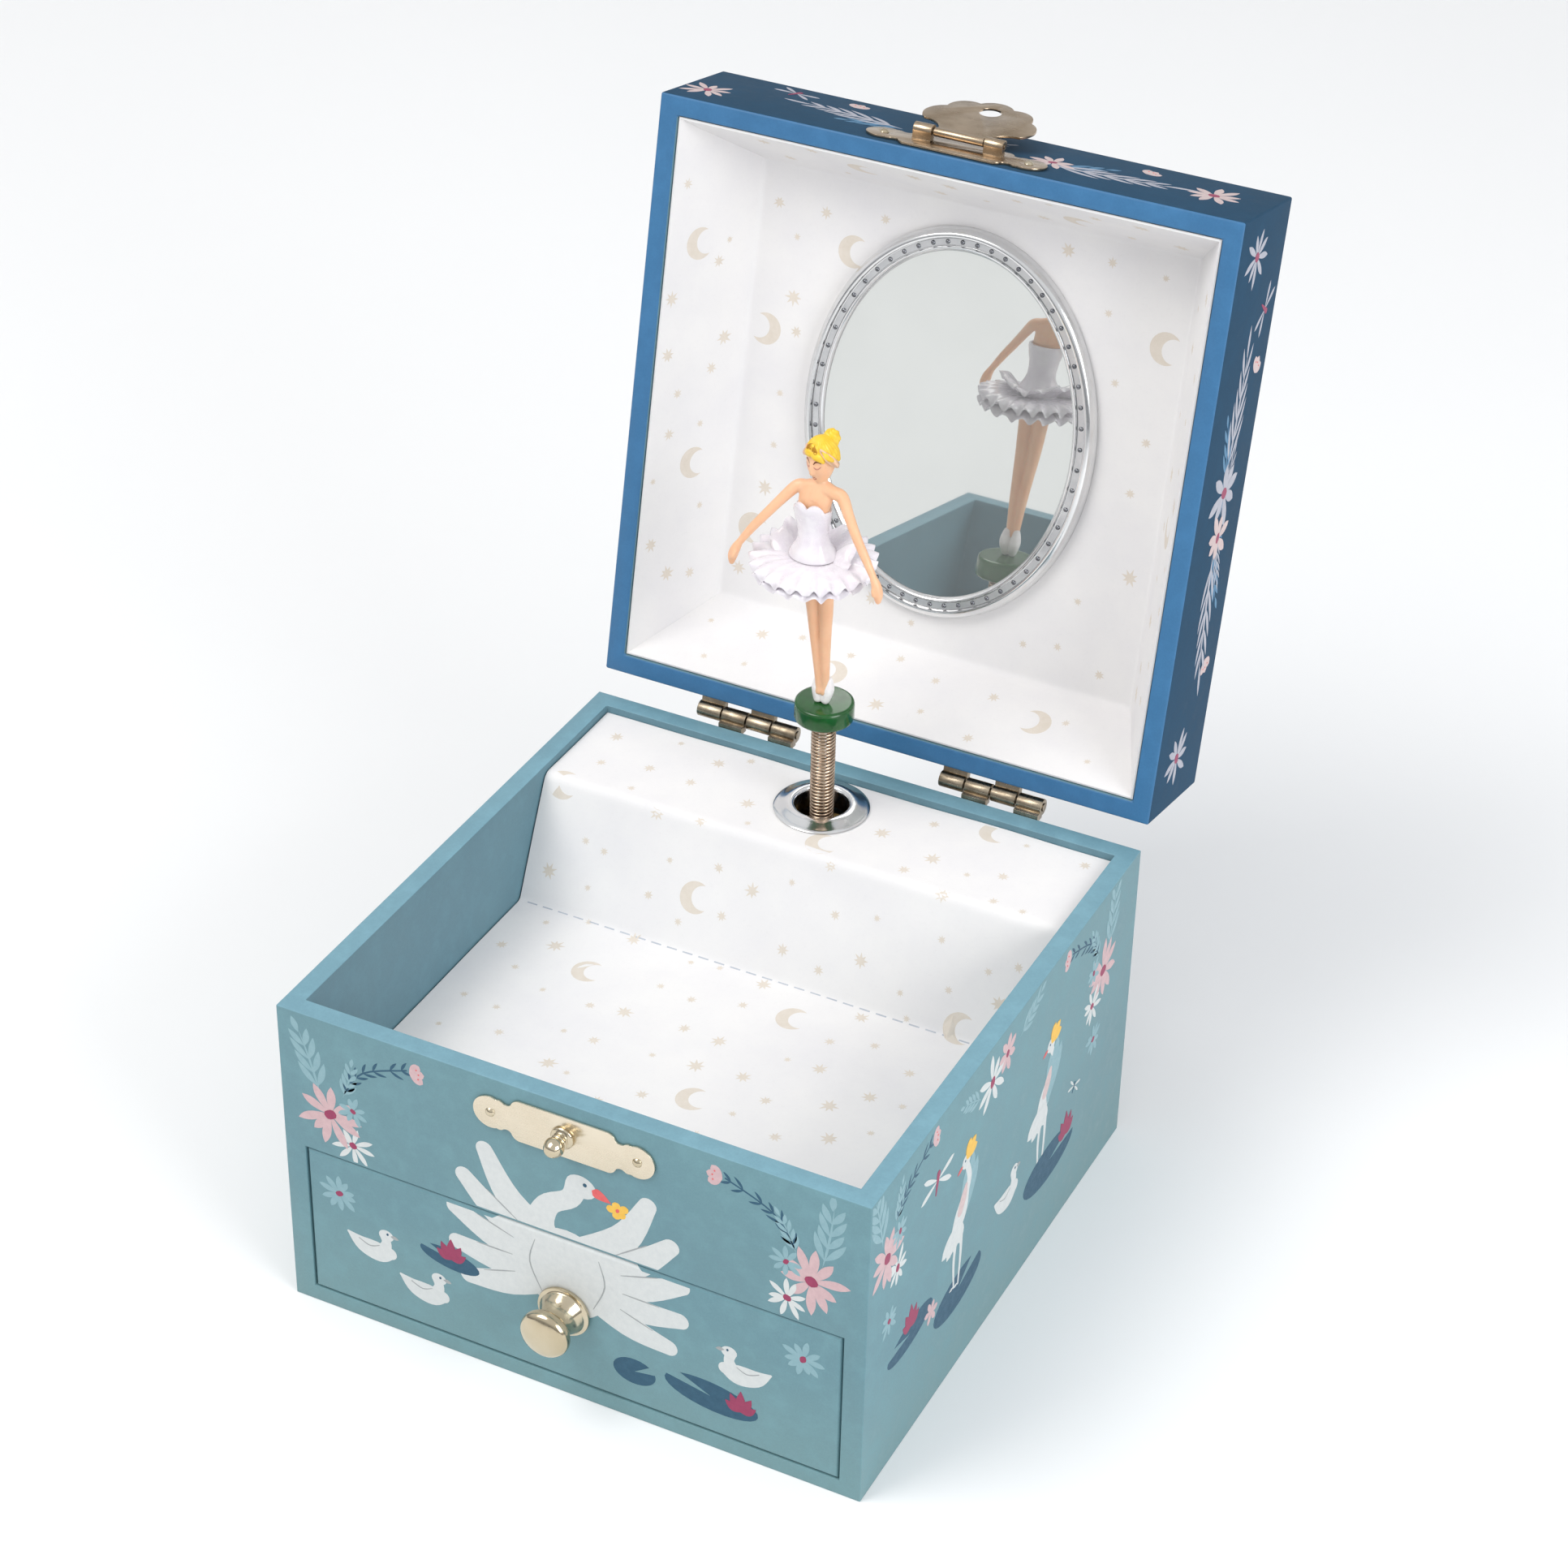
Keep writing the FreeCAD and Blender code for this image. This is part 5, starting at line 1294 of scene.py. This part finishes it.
def lid_back_art():
    """Drawn after the lid's sides, and goes on with their random numbers."""
    y = LID_MIDDLE
    art = Print("lid_back_print", "lid", on_back, LID_LIMITS, OPENED)
    for x in (-46, 46):
        daisy(art, x, y, 5.6, 9, "silver", "maroon", 0.24, 0.2)
    spray(art, -5, y + 1, 175, 27)
    spray(art, 5, y + 1, 5, 27)
    daisy(art, 0, y + 1, 6, 8, "rose", "maroon", 0.32, 0.3, 1)
    art.done()


def lid_top_art():
    """Garland of leaves and flowers round two swimming birds."""
    rng.seed(53)
    limits = (-PRINT_HALF, PRINT_HALF, -PRINT_HALF, PRINT_HALF)
    art = Print("lid_top_print", "lid", on_lid_top, limits, OPENED)
    for k in range(20):
        turn = TAU * k / 20
        x = 40 * math.cos(turn)
        y = 40 * math.sin(turn)
        spray(art, x, y, math.degrees(turn) + 96, 15)
        if k % 2:
            kind = ("silver", "rose", "pink", "white", "rose")[k // 2 % 5]
            daisy(art, x * 1.02, y * 1.02, rng.uniform(4.6, 6.8), 8, kind, "maroon", 0.3, 0.4, 1)
    for x, y in ((-51, 51), (51, 51), (-51, -51), (51, -51)):
        daisy(art, x, y, 6.4, 9, "silver", "maroon", 0.24, 0.2)
    pad(art, 0, -12, 24, 3.8, 0, 80)
    for x, facing in ((-13.5, 1), (13.5, -1)):
        duckling(art, x, -2, 2.2, facing)
        lily(art, x * 1.4, -12, 5.5)
    dragonfly(art, -16, 20, 7, 120, "silver", "maroon")
    dragonfly(art, 15, 22, 6, 70, "silver", "maroon")
    art.done()


def tray_sky():
    """Moons and stars on the tray's card, in lengths along the card from its front edge."""
    rng.seed(61)
    floor = CREASE_Y + INNER
    shelf = TRAY_FOLD.lengths[-1] - (INNER - SHELF_EDGE_Y)
    moons = [(-32, floor - 14.7, 15), (10, floor - 9.3, 10), (4.5, floor - 39.8, 20)]
    moons += [(-18.6, (floor + shelf) / 2 - 2, 10), (40.5, floor + 1.6, 0), (-51.6, shelf - 0.5, 15)]
    moons += [(3.6, shelf + 4.2, 30), (32, shelf + 23.3, 0), (-38, 14, 200)]

    def hole(x, y):
        return math.dist((x, y), (SPIN.x, shelf + SPIN.y - SHELF_EDGE_Y)) < 12

    sky("tray_print", "case", tray_point, 2 * INNER - 4, TRAY_FOLD.lengths[-1], moons, hole)


def lid_sky():
    """Moons and stars on the lid's lining, back and sloping sides."""
    rng.seed(67)
    back = 2 * LINING_BACK_HALF - 3

    def on_back_card(u, v, height):
        return Vector((u, v - back / 2, LINING_BACK_Z - height))

    def under_mirror(x, y):
        middle = (mirror_low + mirror_high) / 2
        return ((x - middle.x) / 33) ** 2 + ((y - back / 2 - middle.y) / 42) ** 2 < 1

    moons = [(-25, -31.6, 0), (41.7, -27.2, 10), (24.5, 42.9, 0), (-40, 30, 20), (-42, -12, 190)]
    moons = [(x, y + back / 2, turn) for x, y, turn in moons if abs(y) < back / 2 - 3]
    sky("lid_back_sky", "lid", on_back_card, back, back, moons, under_mirror, OPENED)
    slope_moons = [
        [(-20, 10, 0), (24, 13, 30)],
        [(4, 9, 190)],
        [(-30, 12, 0), (14, 10, 0)],
        [(-16, 12, 90), (30, 8, 80)],
    ]
    for side, moons in enumerate(slope_moons):

        def on_slope(u, v, height):
            half = LID_FOLD.at(v, 0).x
            return lid_card_point(side, u / half, v, height)

        sky(f"lid_slope_sky_{side}", "lid", on_slope, 2 * LINING_BACK_HALF, LID_SLOPE - 1.5, moons,
            matrix=OPENED)


def moon(x, y, size, turn):
    """Crescent outline."""
    turn = math.radians(turn)
    out = [(x + size * math.cos(turn + a), y + size * math.sin(turn + a)) for a in
           (math.radians(48 + 264 * k / 18) for k in range(19))]
    centre = (x + size * 0.52 * math.cos(turn), y + size * 0.52 * math.sin(turn))
    reach = math.dist(centre, out[0])
    start = math.atan2(out[-1][1] - centre[1], out[-1][0] - centre[0])
    end = math.atan2(out[0][1] - centre[1], out[0][0] - centre[0])
    while end > start:
        end -= TAU
    for k in range(1, 14):
        angle = start + (end - start) * k / 14
        out.append((centre[0] + reach * math.cos(angle), centre[1] + reach * math.sin(angle)))
    return out


def star(x, y, size):
    """Small star with eight uneven points."""
    turn = rng.uniform(0, 0.8)
    out = []
    for k in range(16):
        reach = size * (rng.uniform(0.85, 1.15) if k % 2 == 0 else 0.45)
        out.append((x + reach * math.cos(turn + TAU * k / 16), y + reach * math.sin(turn + TAU * k / 16)))
    return out


MOON_SIZE = 3.3
STAR_SIZES = (0.8, 0.9, 1.1, 1.3, 1.6, 1.8)


def sky(name, body, place, width, height, moons, avoid=None, matrix=FLAT, pitch=9.8):
    """Stars scattered over a width by height sheet, and crescents at the given places."""
    art = Print(name, body, place, (-width / 2, width / 2, 0.5, height - 0.5), matrix)
    for x, y, turn in moons:
        art.shape("beige", moon(x, y, MOON_SIZE, turn))
    columns = round(width / pitch)
    rows = round(height / pitch)
    for i in range(columns):
        for j in range(rows):
            x = (i + 0.5 + rng.uniform(-0.3, 0.3) + 0.25 * (j % 2)) * width / columns - width / 2
            y = (j + 0.5 + rng.uniform(-0.3, 0.3)) * height / rows
            size = rng.choice(STAR_SIZES)
            if abs(x) > width / 2 - 2 or min(y, height - y) < 2 or (avoid and avoid(x, y)):
                continue
            if any(math.dist((x, y), m[:2]) < 6 for m in moons):
                continue
            art.shape("beige", star(x, y, size))
    art.done()


# ---- dancer ----
def over_stand(x, y, z):
    """Point measured from the middle of the stand's top."""
    return Vector((SPIN.x + x, SPIN.y + y, SOLE_Z + z))


def grow(bm, path, radii, **more):
    """Adds a limb; a radius is one number, or one along and one across."""
    pairs = [r if isinstance(r, tuple) else (r, r) for r in radii]
    bridge(bm, limb([over_stand(*p) for p in path], pairs, **more))


def trunk(bm):
    """Chest, neck and shoulders."""
    chest = [(-2.3, -2.2, 40), (-2.2, -2.1, 44), (-1.8, -1.8, 46.3), (-1.5, -1.6, 47.6)]
    grow(bm, chest, [(3.1, 2.1), (3.3, 2.2), (3.3, 1.7), (2.2, 1.3)])
    neck = [(-1.6, -1.7, 45.5), (-1.4, -1.5, 47.6), (-1.3, -1.4, 49), (-1.25, -1.5, 52)]
    grow(bm, neck, [2.4, 1.7, 1.25, 1.2])
    shoulders = [(-5.6, -1.7, 46.5), (-3.6, -1.6, 47.2), (-1.4, -1.5, 47.6)]
    shoulders += [(0.8, -1.6, 47.2), (2.8, -1.7, 46.5)]
    grow(bm, shoulders, [1.15, 1.3, 1.5, 1.3, 1.15], side_axis=Y_AXIS)


def leg(bm, side):
    path = [(0.5, -0.2, -1.3, 2.5), (0.68, -0.25, -0.85, 4.8), (0.92, -0.6, -0.9, 11)]
    path += [(1.15, -0.8, -1.1, 16), (1.4, -1.0, -1.3, 22), (1.7, -1.6, -1.7, 31)]
    radii = [(0.8, 0.7), (0.78, 0.82), (0.98, 1.1), (1.15, 1.25), (1.42, 1.5), (1.8, 1.8)]
    grow(bm, [(side * apart + shift, y, z) for apart, shift, y, z in path], radii)


def arm(bm, side):
    """Arm, palm and thumb, measured from the shoulder."""
    shoulder = Vector((side * 4.5 - 1.4, -1.6, 47.0))
    upper = [(-1.2, 0.1, 0.1), (0.3, -0.2, -0.5), (2.4, -1.8, -2.9), (4.9, -3.4, -6.1), (7.4, -4.5, -9.4)]
    upper.append((9.5, -5.2, -12.6))
    palm = [(9.4, -5.2, -12.4), (10.2, -5.4, -14.0), (10.7, -5.6, -15.6), (10.8, -5.7, -16.9)]
    thumb = [(9.9, -5.6, -13.4), (10.0, -6.4, -14.6), (10.2, -6.7, -15.5)]
    limbs = (
        (upper, [1.1, 1.2, 1.05, 0.95, 0.86, 0.7]),
        (palm, [(0.68, 0.72), (0.95, 1.05), (0.95, 1.05), (0.6, 0.7)]),
        (thumb, [0.42, 0.42, 0.32]),
    )
    for path, radii in limbs:
        grow(bm, [(shoulder.x + side * x, shoulder.y + y, shoulder.z + z) for x, y, z in path], radii)


def dancer_skin():
    """Legs, chest, neck and arms as one moulded skin."""
    bm = bmesh.new()
    trunk(bm)
    for side in (-1, 1):
        leg(bm, side)
        arm(bm, side)
    body = fused(bm, 0.2, 7)
    piece("dancer_skin", body, "dancer", SKIN, sharp=180)


def dancer_slippers():
    bm = bmesh.new()
    for side in (-1, 1):
        heel = (side * 1.12 - 0.2, -0.3, 4.9)
        arch = (side * 1.15 - 0.2, -0.45, 2.9)
        toe = (side * 0.8 - 0.15, -1.0, 0.75)
        grow(bm, [heel, arch, toe], [(0.8, 0.85), (1.15, 1.35), (0.9, 1.0)])
    piece("dancer_slippers", fused(bm, 0.16, 5), "dancer", SHOES, sharp=180)


def front_angle(angle):
    """Angle away from the front, 0 to pi."""
    return abs((angle + math.pi) % TAU - math.pi)


def around(centre, angle, rx, ry, z):
    """Point on an oval round a place over the stand; angle 0 is the front."""
    return over_stand(centre[0] + rx * math.sin(angle), centre[1] - ry * math.cos(angle), z)


def dancer_bodice():
    """Strapless bodice with a heart-shaped top and a small flared edge."""
    low = 33.3
    shape = [(0, 4.8, 4.35), (0.03, 4.78, 4.3), (0.12, 4.2, 3.6), (0.25, 3.45, 2.8), (0.36, 3.1, 2.45),
             (0.5, 3.05, 2.4), (0.65, 3.2, 2.6), (0.78, 3.55, 2.95), (0.86, 3.65, 3.1), (0.93, 3.8, 3.25),
             (1.0, 3.7, 3.1)]
    rings = []
    for inside in (0, 1):
        rows = shape[::-1] if inside else shape
        for share, rx, ry in rows:
            ring = []
            for k in range(72):
                angle = TAU * k / 72
                away = math.degrees(front_angle(angle))
                top = 43.2 + 1.8 * max(0, 1 - ((away - 26) / 31) ** 2) ** 0.6
                lean = 0.1 * math.sin(9 * angle) * max(0, share - 0.8) * 5 if not inside else 0
                gap = 0.45 if inside else 0
                z = low + (top - low) * share + (0.15 if inside and share < 0.02 else 0)
                centre = (-2.1 - 0.3 * share, -2.2)
                ring.append(around(centre, angle, rx + lean - gap, ry + lean - gap, z))
            rings.append(ring)
    bm = bmesh.new()
    bridge(bm, rings, closed_path=True)
    piece("dancer_bodice", bm, "dancer", DRESS, sharp=50)


def frill(name, inner, outer, height, thickness, folds, depth, seed):
    """Gathered ring of net; height(angle, share) gives its middle, folds deepen towards the edge."""
    rng.seed(seed)
    phase = [rng.uniform(0, TAU) for _ in range(4)]
    sides = 288
    steps = 14
    sheets = ([], [])
    for i in range(steps + 1):
        share = i / steps
        for sheet, sign in zip(sheets, (1, -1)):
            ring = []
            for k in range(sides):
                angle = TAU * k / sides
                swell = math.sin(folds * angle + phase[0] + 0.7 * math.sin(3 * angle + phase[1]))
                crease = math.sin(2 * folds * angle + phase[2]) * math.sin(5 * angle + phase[3])
                wave = (swell + 0.25 * crease) * depth * (0.06 * share + 0.94 * share ** 9)
                reach = inner + (outer + 0.4 * swell * share ** 4 - inner) * share
                edge = thickness / 2 * math.sqrt(max(0.02, 1 - share ** 6))
                ripple = math.sin(29 * angle + 11 * share + phase[1]) * math.sin(9 * share + 3 * angle)
                wave += 0.12 * ripple * share
                z = height(angle, share) + wave + sign * edge
                ring.append(around((-2.1, -2.2), angle, reach, reach * 0.99, z))
            sheet.append(ring)
    bm = bmesh.new()
    bridge(bm, sheets[0] + sheets[1][::-1], closed_path=True)
    piece(name, bm, "dancer", DRESS, sharp=70)


def dancer_tutu():
    def rise(angle):
        away = math.degrees(front_angle(angle))
        return min(max((away - 55) / 45, 0), 1) ** 1.5 * (1 - 0.35 * min(max((away - 140) / 40, 0), 1))

    def top(angle, share):
        return 32.5 - 1.1 * share ** 5 + 0.9 * rise(angle) * share

    def under(angle, share):
        return 31.4 - 0.2 * share - 1.3 * share ** 4 + 0.5 * rise(angle) * share

    def back(angle, share):
        return 32.0 - 0.3 * share + (4.4 * math.sin(share * 1.45) + 0.3) * rise(angle)

    frill("tutu_top", 2.6, 12.0, top, 1.2, 23, 0.75, 5)
    frill("tutu_under", 2.4, 11.7, under, 1.2, 20, 0.65, 6)
    frill("tutu_back", 3.0, 8.4, back, 1.1, 13, 0.6, 9)


HEAD = Matrix.Translation(over_stand(-1.2, -1.7, 53.4)) @ Matrix.Rotation(math.radians(-13), 4, "Z")
HEAD = HEAD @ Matrix.Rotation(math.radians(9), 4, "X")


def bump(distance, width):
    return math.exp(-(distance / width) ** 2)


def head_point(side, up, over=0.0):
    """Point of the head, by the angles to the side and up from the nose, raised by over."""
    across = (side + 180) % 360 - 180
    a = math.radians(side)
    b = math.radians(up)
    low = max(0, -math.sin(b))
    wide = 2.66 * (1 - 0.32 * low ** 1.5)
    front = math.cos(a) > 0
    deep = (3.0 - 0.1 * low) if front else 3.2 * (1 - 0.42 * low)
    tall = 4.5 + 0.6 * low
    spot = Vector((wide * math.sin(a) * math.cos(b), -deep * math.cos(a) * math.cos(b), tall * math.sin(b)))
    size = over
    size += 0.75 * bump(across, 7 + max(0, -up - 4) * 0.25) * bump(up + 13, 9 if up < -13 else 20)
    size += 0.34 * bump(across, 26) * bump(up + 62, 14)
    size += 0.28 * bump(across, 15) * bump(up + 35, 6)
    size += 0.12 * bump(abs(across) - 42, 18) * bump(up + 22, 16)
    size -= 0.20 * bump(abs(across) - 25, 13) * bump(up - 4, 10)
    size += 0.12 * bump(abs(across) - 24, 9) * bump(up - 1, 5)
    return spot + spot.normalized() * size


def on_face(side, up, height):
    return HEAD @ head_point(side, up, height)


def globe(bm, surface, sides=72, rows=48):
    """Closed skin over a surface given by two angles."""
    rings = []
    for j in range(1, rows):
        up = -90 + 180 * j / rows
        rings.append([surface(360 * k / sides, up) for k in range(sides)])
    made = bridge(bm, rings, caps=False)
    for ring, up in ((made[0], -90), (made[-1], 90)):
        pole = bm.verts.new(surface(0, up))
        for k in range(sides):
            bm.faces.new((pole, ring[k], ring[(k + 1) % sides]))
    return bm


def dancer_head():
    bm = globe(bmesh.new(), lambda side, up: on_face(side, up, 0), 96, 64)
    piece("dancer_head", bm, "dancer", SKIN, ["ballerina_figure"], sharp=180)
    inks = {"dancer_brows": (BROW, []), "dancer_lids": (BLUSH, []), "dancer_mouth": (LIPS, [])}
    for way in (-1, 1):
        brow = [(way * 11, 10), (way * 19, 16), (way * 31, 17), (way * 42, 12)]
        inks["dancer_brows"][1].append(stroke(brow, [2.6, 4.6, 4.6, 1.4]))
        lid = [(way * 12, 1), (way * 20, -3), (way * 30, -2), (way * 40, 3)]
        inks["dancer_lids"][1].append(stroke(lid, [2.4, 4.0, 4.0, 2.0]))
    mouth = [(-14, -34), (-6, -32.6), (0, -33.6), (6, -32.6), (14, -34)]
    inks["dancer_mouth"][1].append(stroke(mouth, [2.0, 6.8, 6.2, 6.8, 2.0]))
    for name, (used, outlines) in inks.items():
        bm = bmesh.new()
        for outline in outlines:
            slab(bm, outline, on_face, 0.03, 0.08)
        piece(name, bm, "dancer", used)


def hair_height(side, up):
    """Thickness of the hair over the head; below the hairline it sinks under the skin."""
    across = abs((side + 180) % 360 - 180)
    line = 34 - 62 * (max(across - 28, 0) / 152) ** 0.8
    share = min(max((up - line) / 9 + 0.5, 0), 1)
    comb = 0.07 * math.sin(math.radians(side) * 26 + up * 0.05) * max(0, math.cos(math.radians(up)))
    return -0.45 + (1.05 + comb) * share * share * (3 - 2 * share)


def dancer_hair():
    """Combed cap of hair with a bun, a rolled fringe and side bands."""
    bm = globe(bmesh.new(), lambda side, up: on_face(side, up, hair_height(side, up)), 144, 72)
    middle = over_stand(-0.5, 0.9, 56.8)

    def bun(side, up):
        a = math.radians(side)
        b = math.radians(up)
        size = 1.65 + 0.09 * math.sin(4 * a + up * 0.12)
        spot = Vector((math.sin(a) * math.cos(b), -math.cos(a) * math.cos(b), math.sin(b) * 1.12))
        return middle + spot * size

    globe(bm, bun, 48, 32)
    piece("dancer_hair", bm, "dancer", HAIR, sharp=180)
    fringe = bmesh.new()
    for path, radii in (([(-46, 24), (-30, 33), (-8, 37), (14, 36)], [0.3, 0.75, 0.85, 0.5]),
                        ([(0, 40), (18, 34), (36, 27), (52, 14)], [0.6, 0.9, 0.8, 0.3]),
                        ([(-32, 48), (-14, 52), (8, 52), (26, 46)], [0.4, 0.8, 0.8, 0.4])):
        centres = [HEAD @ head_point(a, b, 0.2) for a, b in path]
        bridge(fringe, limb(centres, [(r, r * 0.75) for r in radii], 14, 6, Z_AXIS))
    piece("dancer_fringe", fused(fringe, 0.13, 3), "dancer", HAIR, sharp=180)
    curls = bmesh.new()
    for a, b, way in ((-27, 47, 1), (-8, 50, -1), (10, 47, 1), (24, 40, -1)):
        centres = []
        for k in range(11):
            reach = 2 + 0.62 * k
            side = a + way * reach * math.cos(k * 0.75)
            centres.append(HEAD @ head_point(side, b + reach * math.sin(k * 0.75), 0.84))
        bridge(curls, limb(centres, [(0.1, 0.1)] * len(centres), 8, 3, Z_AXIS))
    piece("dancer_curls", curls, "dancer", CURL, sharp=180)
    bands = bmesh.new()
    for way in (-1, 1):
        path = [(way * 46, 42), (way * 62, 28), (way * 82, 10), (way * 102, -6)]
        slab(bands, stroke(path, [10, 18, 19, 10]), on_face, 0.86, 0.1)
    piece("dancer_headband", bands, "dancer", HAIRBAND, sharp=180)


# ---- view, light and floor ----
def camera():
    """Long lens from the front right, above the box."""
    data = bpy.data.cameras.new("camera")
    data.lens = 85.35
    data.sensor_width = 36
    data.clip_start = 0.01
    obj = bpy.data.objects.new("camera", data)
    right = Vector((0.89190, 0.45188, 0.01774))
    up = Vector((-0.26609, 0.49266, 0.82854))
    obj.matrix_world = Matrix((right, up, right.cross(up))).transposed().to_4x4()
    obj.location = (0.25759, -0.49913, 0.48039)
    scene.collection.objects.link(obj)
    scene.camera = obj


def softbox(name, spot, target, size, power, tint=(1, 1, 1)):
    data = bpy.data.lights.new(name, "AREA")
    data.shape = "RECTANGLE"
    data.size, data.size_y = size
    data.energy = power
    data.color = tint
    obj = bpy.data.objects.new(name, data)
    obj.location = spot
    obj.rotation_euler = (Vector(target) - Vector(spot)).to_track_quat("-Z", "Y").to_euler()
    scene.collection.objects.link(obj)


def studio():
    """White table that curves up into a backdrop, bright even surroundings and two soft lights."""
    world = bpy.data.worlds.new("studio")
    scene.world = world
    world.use_nodes = True
    tree = world.node_tree
    height = add(tree, "SeparateXYZ", {0: add(tree, "TexCoord").outputs["Generated"]}).outputs[2]
    glow = mix(tree, ramp(tree, height, 0.02, 0.4), (0.30, 0.31, 0.33, 1), (1.14, 1.16, 1.18, 1))
    tree.links.new(glow, tree.nodes["Background"].inputs["Color"])
    tree.nodes["Background"].inputs["Strength"].default_value = 0.72
    softbox("key", (-0.5, -0.55, 1.1), (0, 0, 0.06), (0.7, 0.7), 7.5, (1.0, 0.985, 0.96))
    softbox("fill", (0.95, -0.35, 0.55), (0, 0, 0.06), (0.6, 0.6), 6.0, (0.96, 0.98, 1.0))
    made, tree, where = material("table_white", Roughness=0.9, Specular_IOR_Level=0.1)
    finish_shader(tree, mix(tree, noise(tree, where, 6), (0.90, 0.90, 0.90, 1), (0.88, 0.88, 0.885, 1)))
    bm = bmesh.new()
    profile = [(-3.0, 0.0), (1.2, 0.0), (1.6, 0.08), (1.9, 0.3), (2.0, 0.7), (2.0, 3.0)]
    rows = [[bm.verts.new((x, y, z)) for x in (-4, 4)] for y, z in profile]
    for a, b in zip(rows, rows[1:]):
        bm.faces.new((a[0], a[1], b[1], b[0]))
    mesh = bpy.data.meshes.new("table")
    bm.to_mesh(mesh)
    bm.free()
    mesh.shade_smooth()
    mesh.materials.append(made)
    obj = bpy.data.objects.new("table", mesh)
    scene.collection.objects.link(obj)
    scene.view_settings.view_transform = "Standard"


camera()
studio()
case_shell()
lid_shell()
underside_sheet()
tray_card()
lid_card()
mirror_frame()
mirror_plate()
drawer_knob()
catch_stud()
eyelet()
spindle_spring()
stand()
drawer_box()
painted_edge()
small_metal()
dancer_skin()
dancer_slippers()
dancer_bodice()
dancer_tutu()
dancer_head()
dancer_hair()
front_art()
side_art("right_print", on_right)
side_art("left_print", on_left)
back_art()
lid_front_art()
lid_side_art("lid_right_print", on_right)
lid_side_art("lid_left_print", on_left)
lid_back_art()
lid_top_art()
tray_sky()
lid_sky()
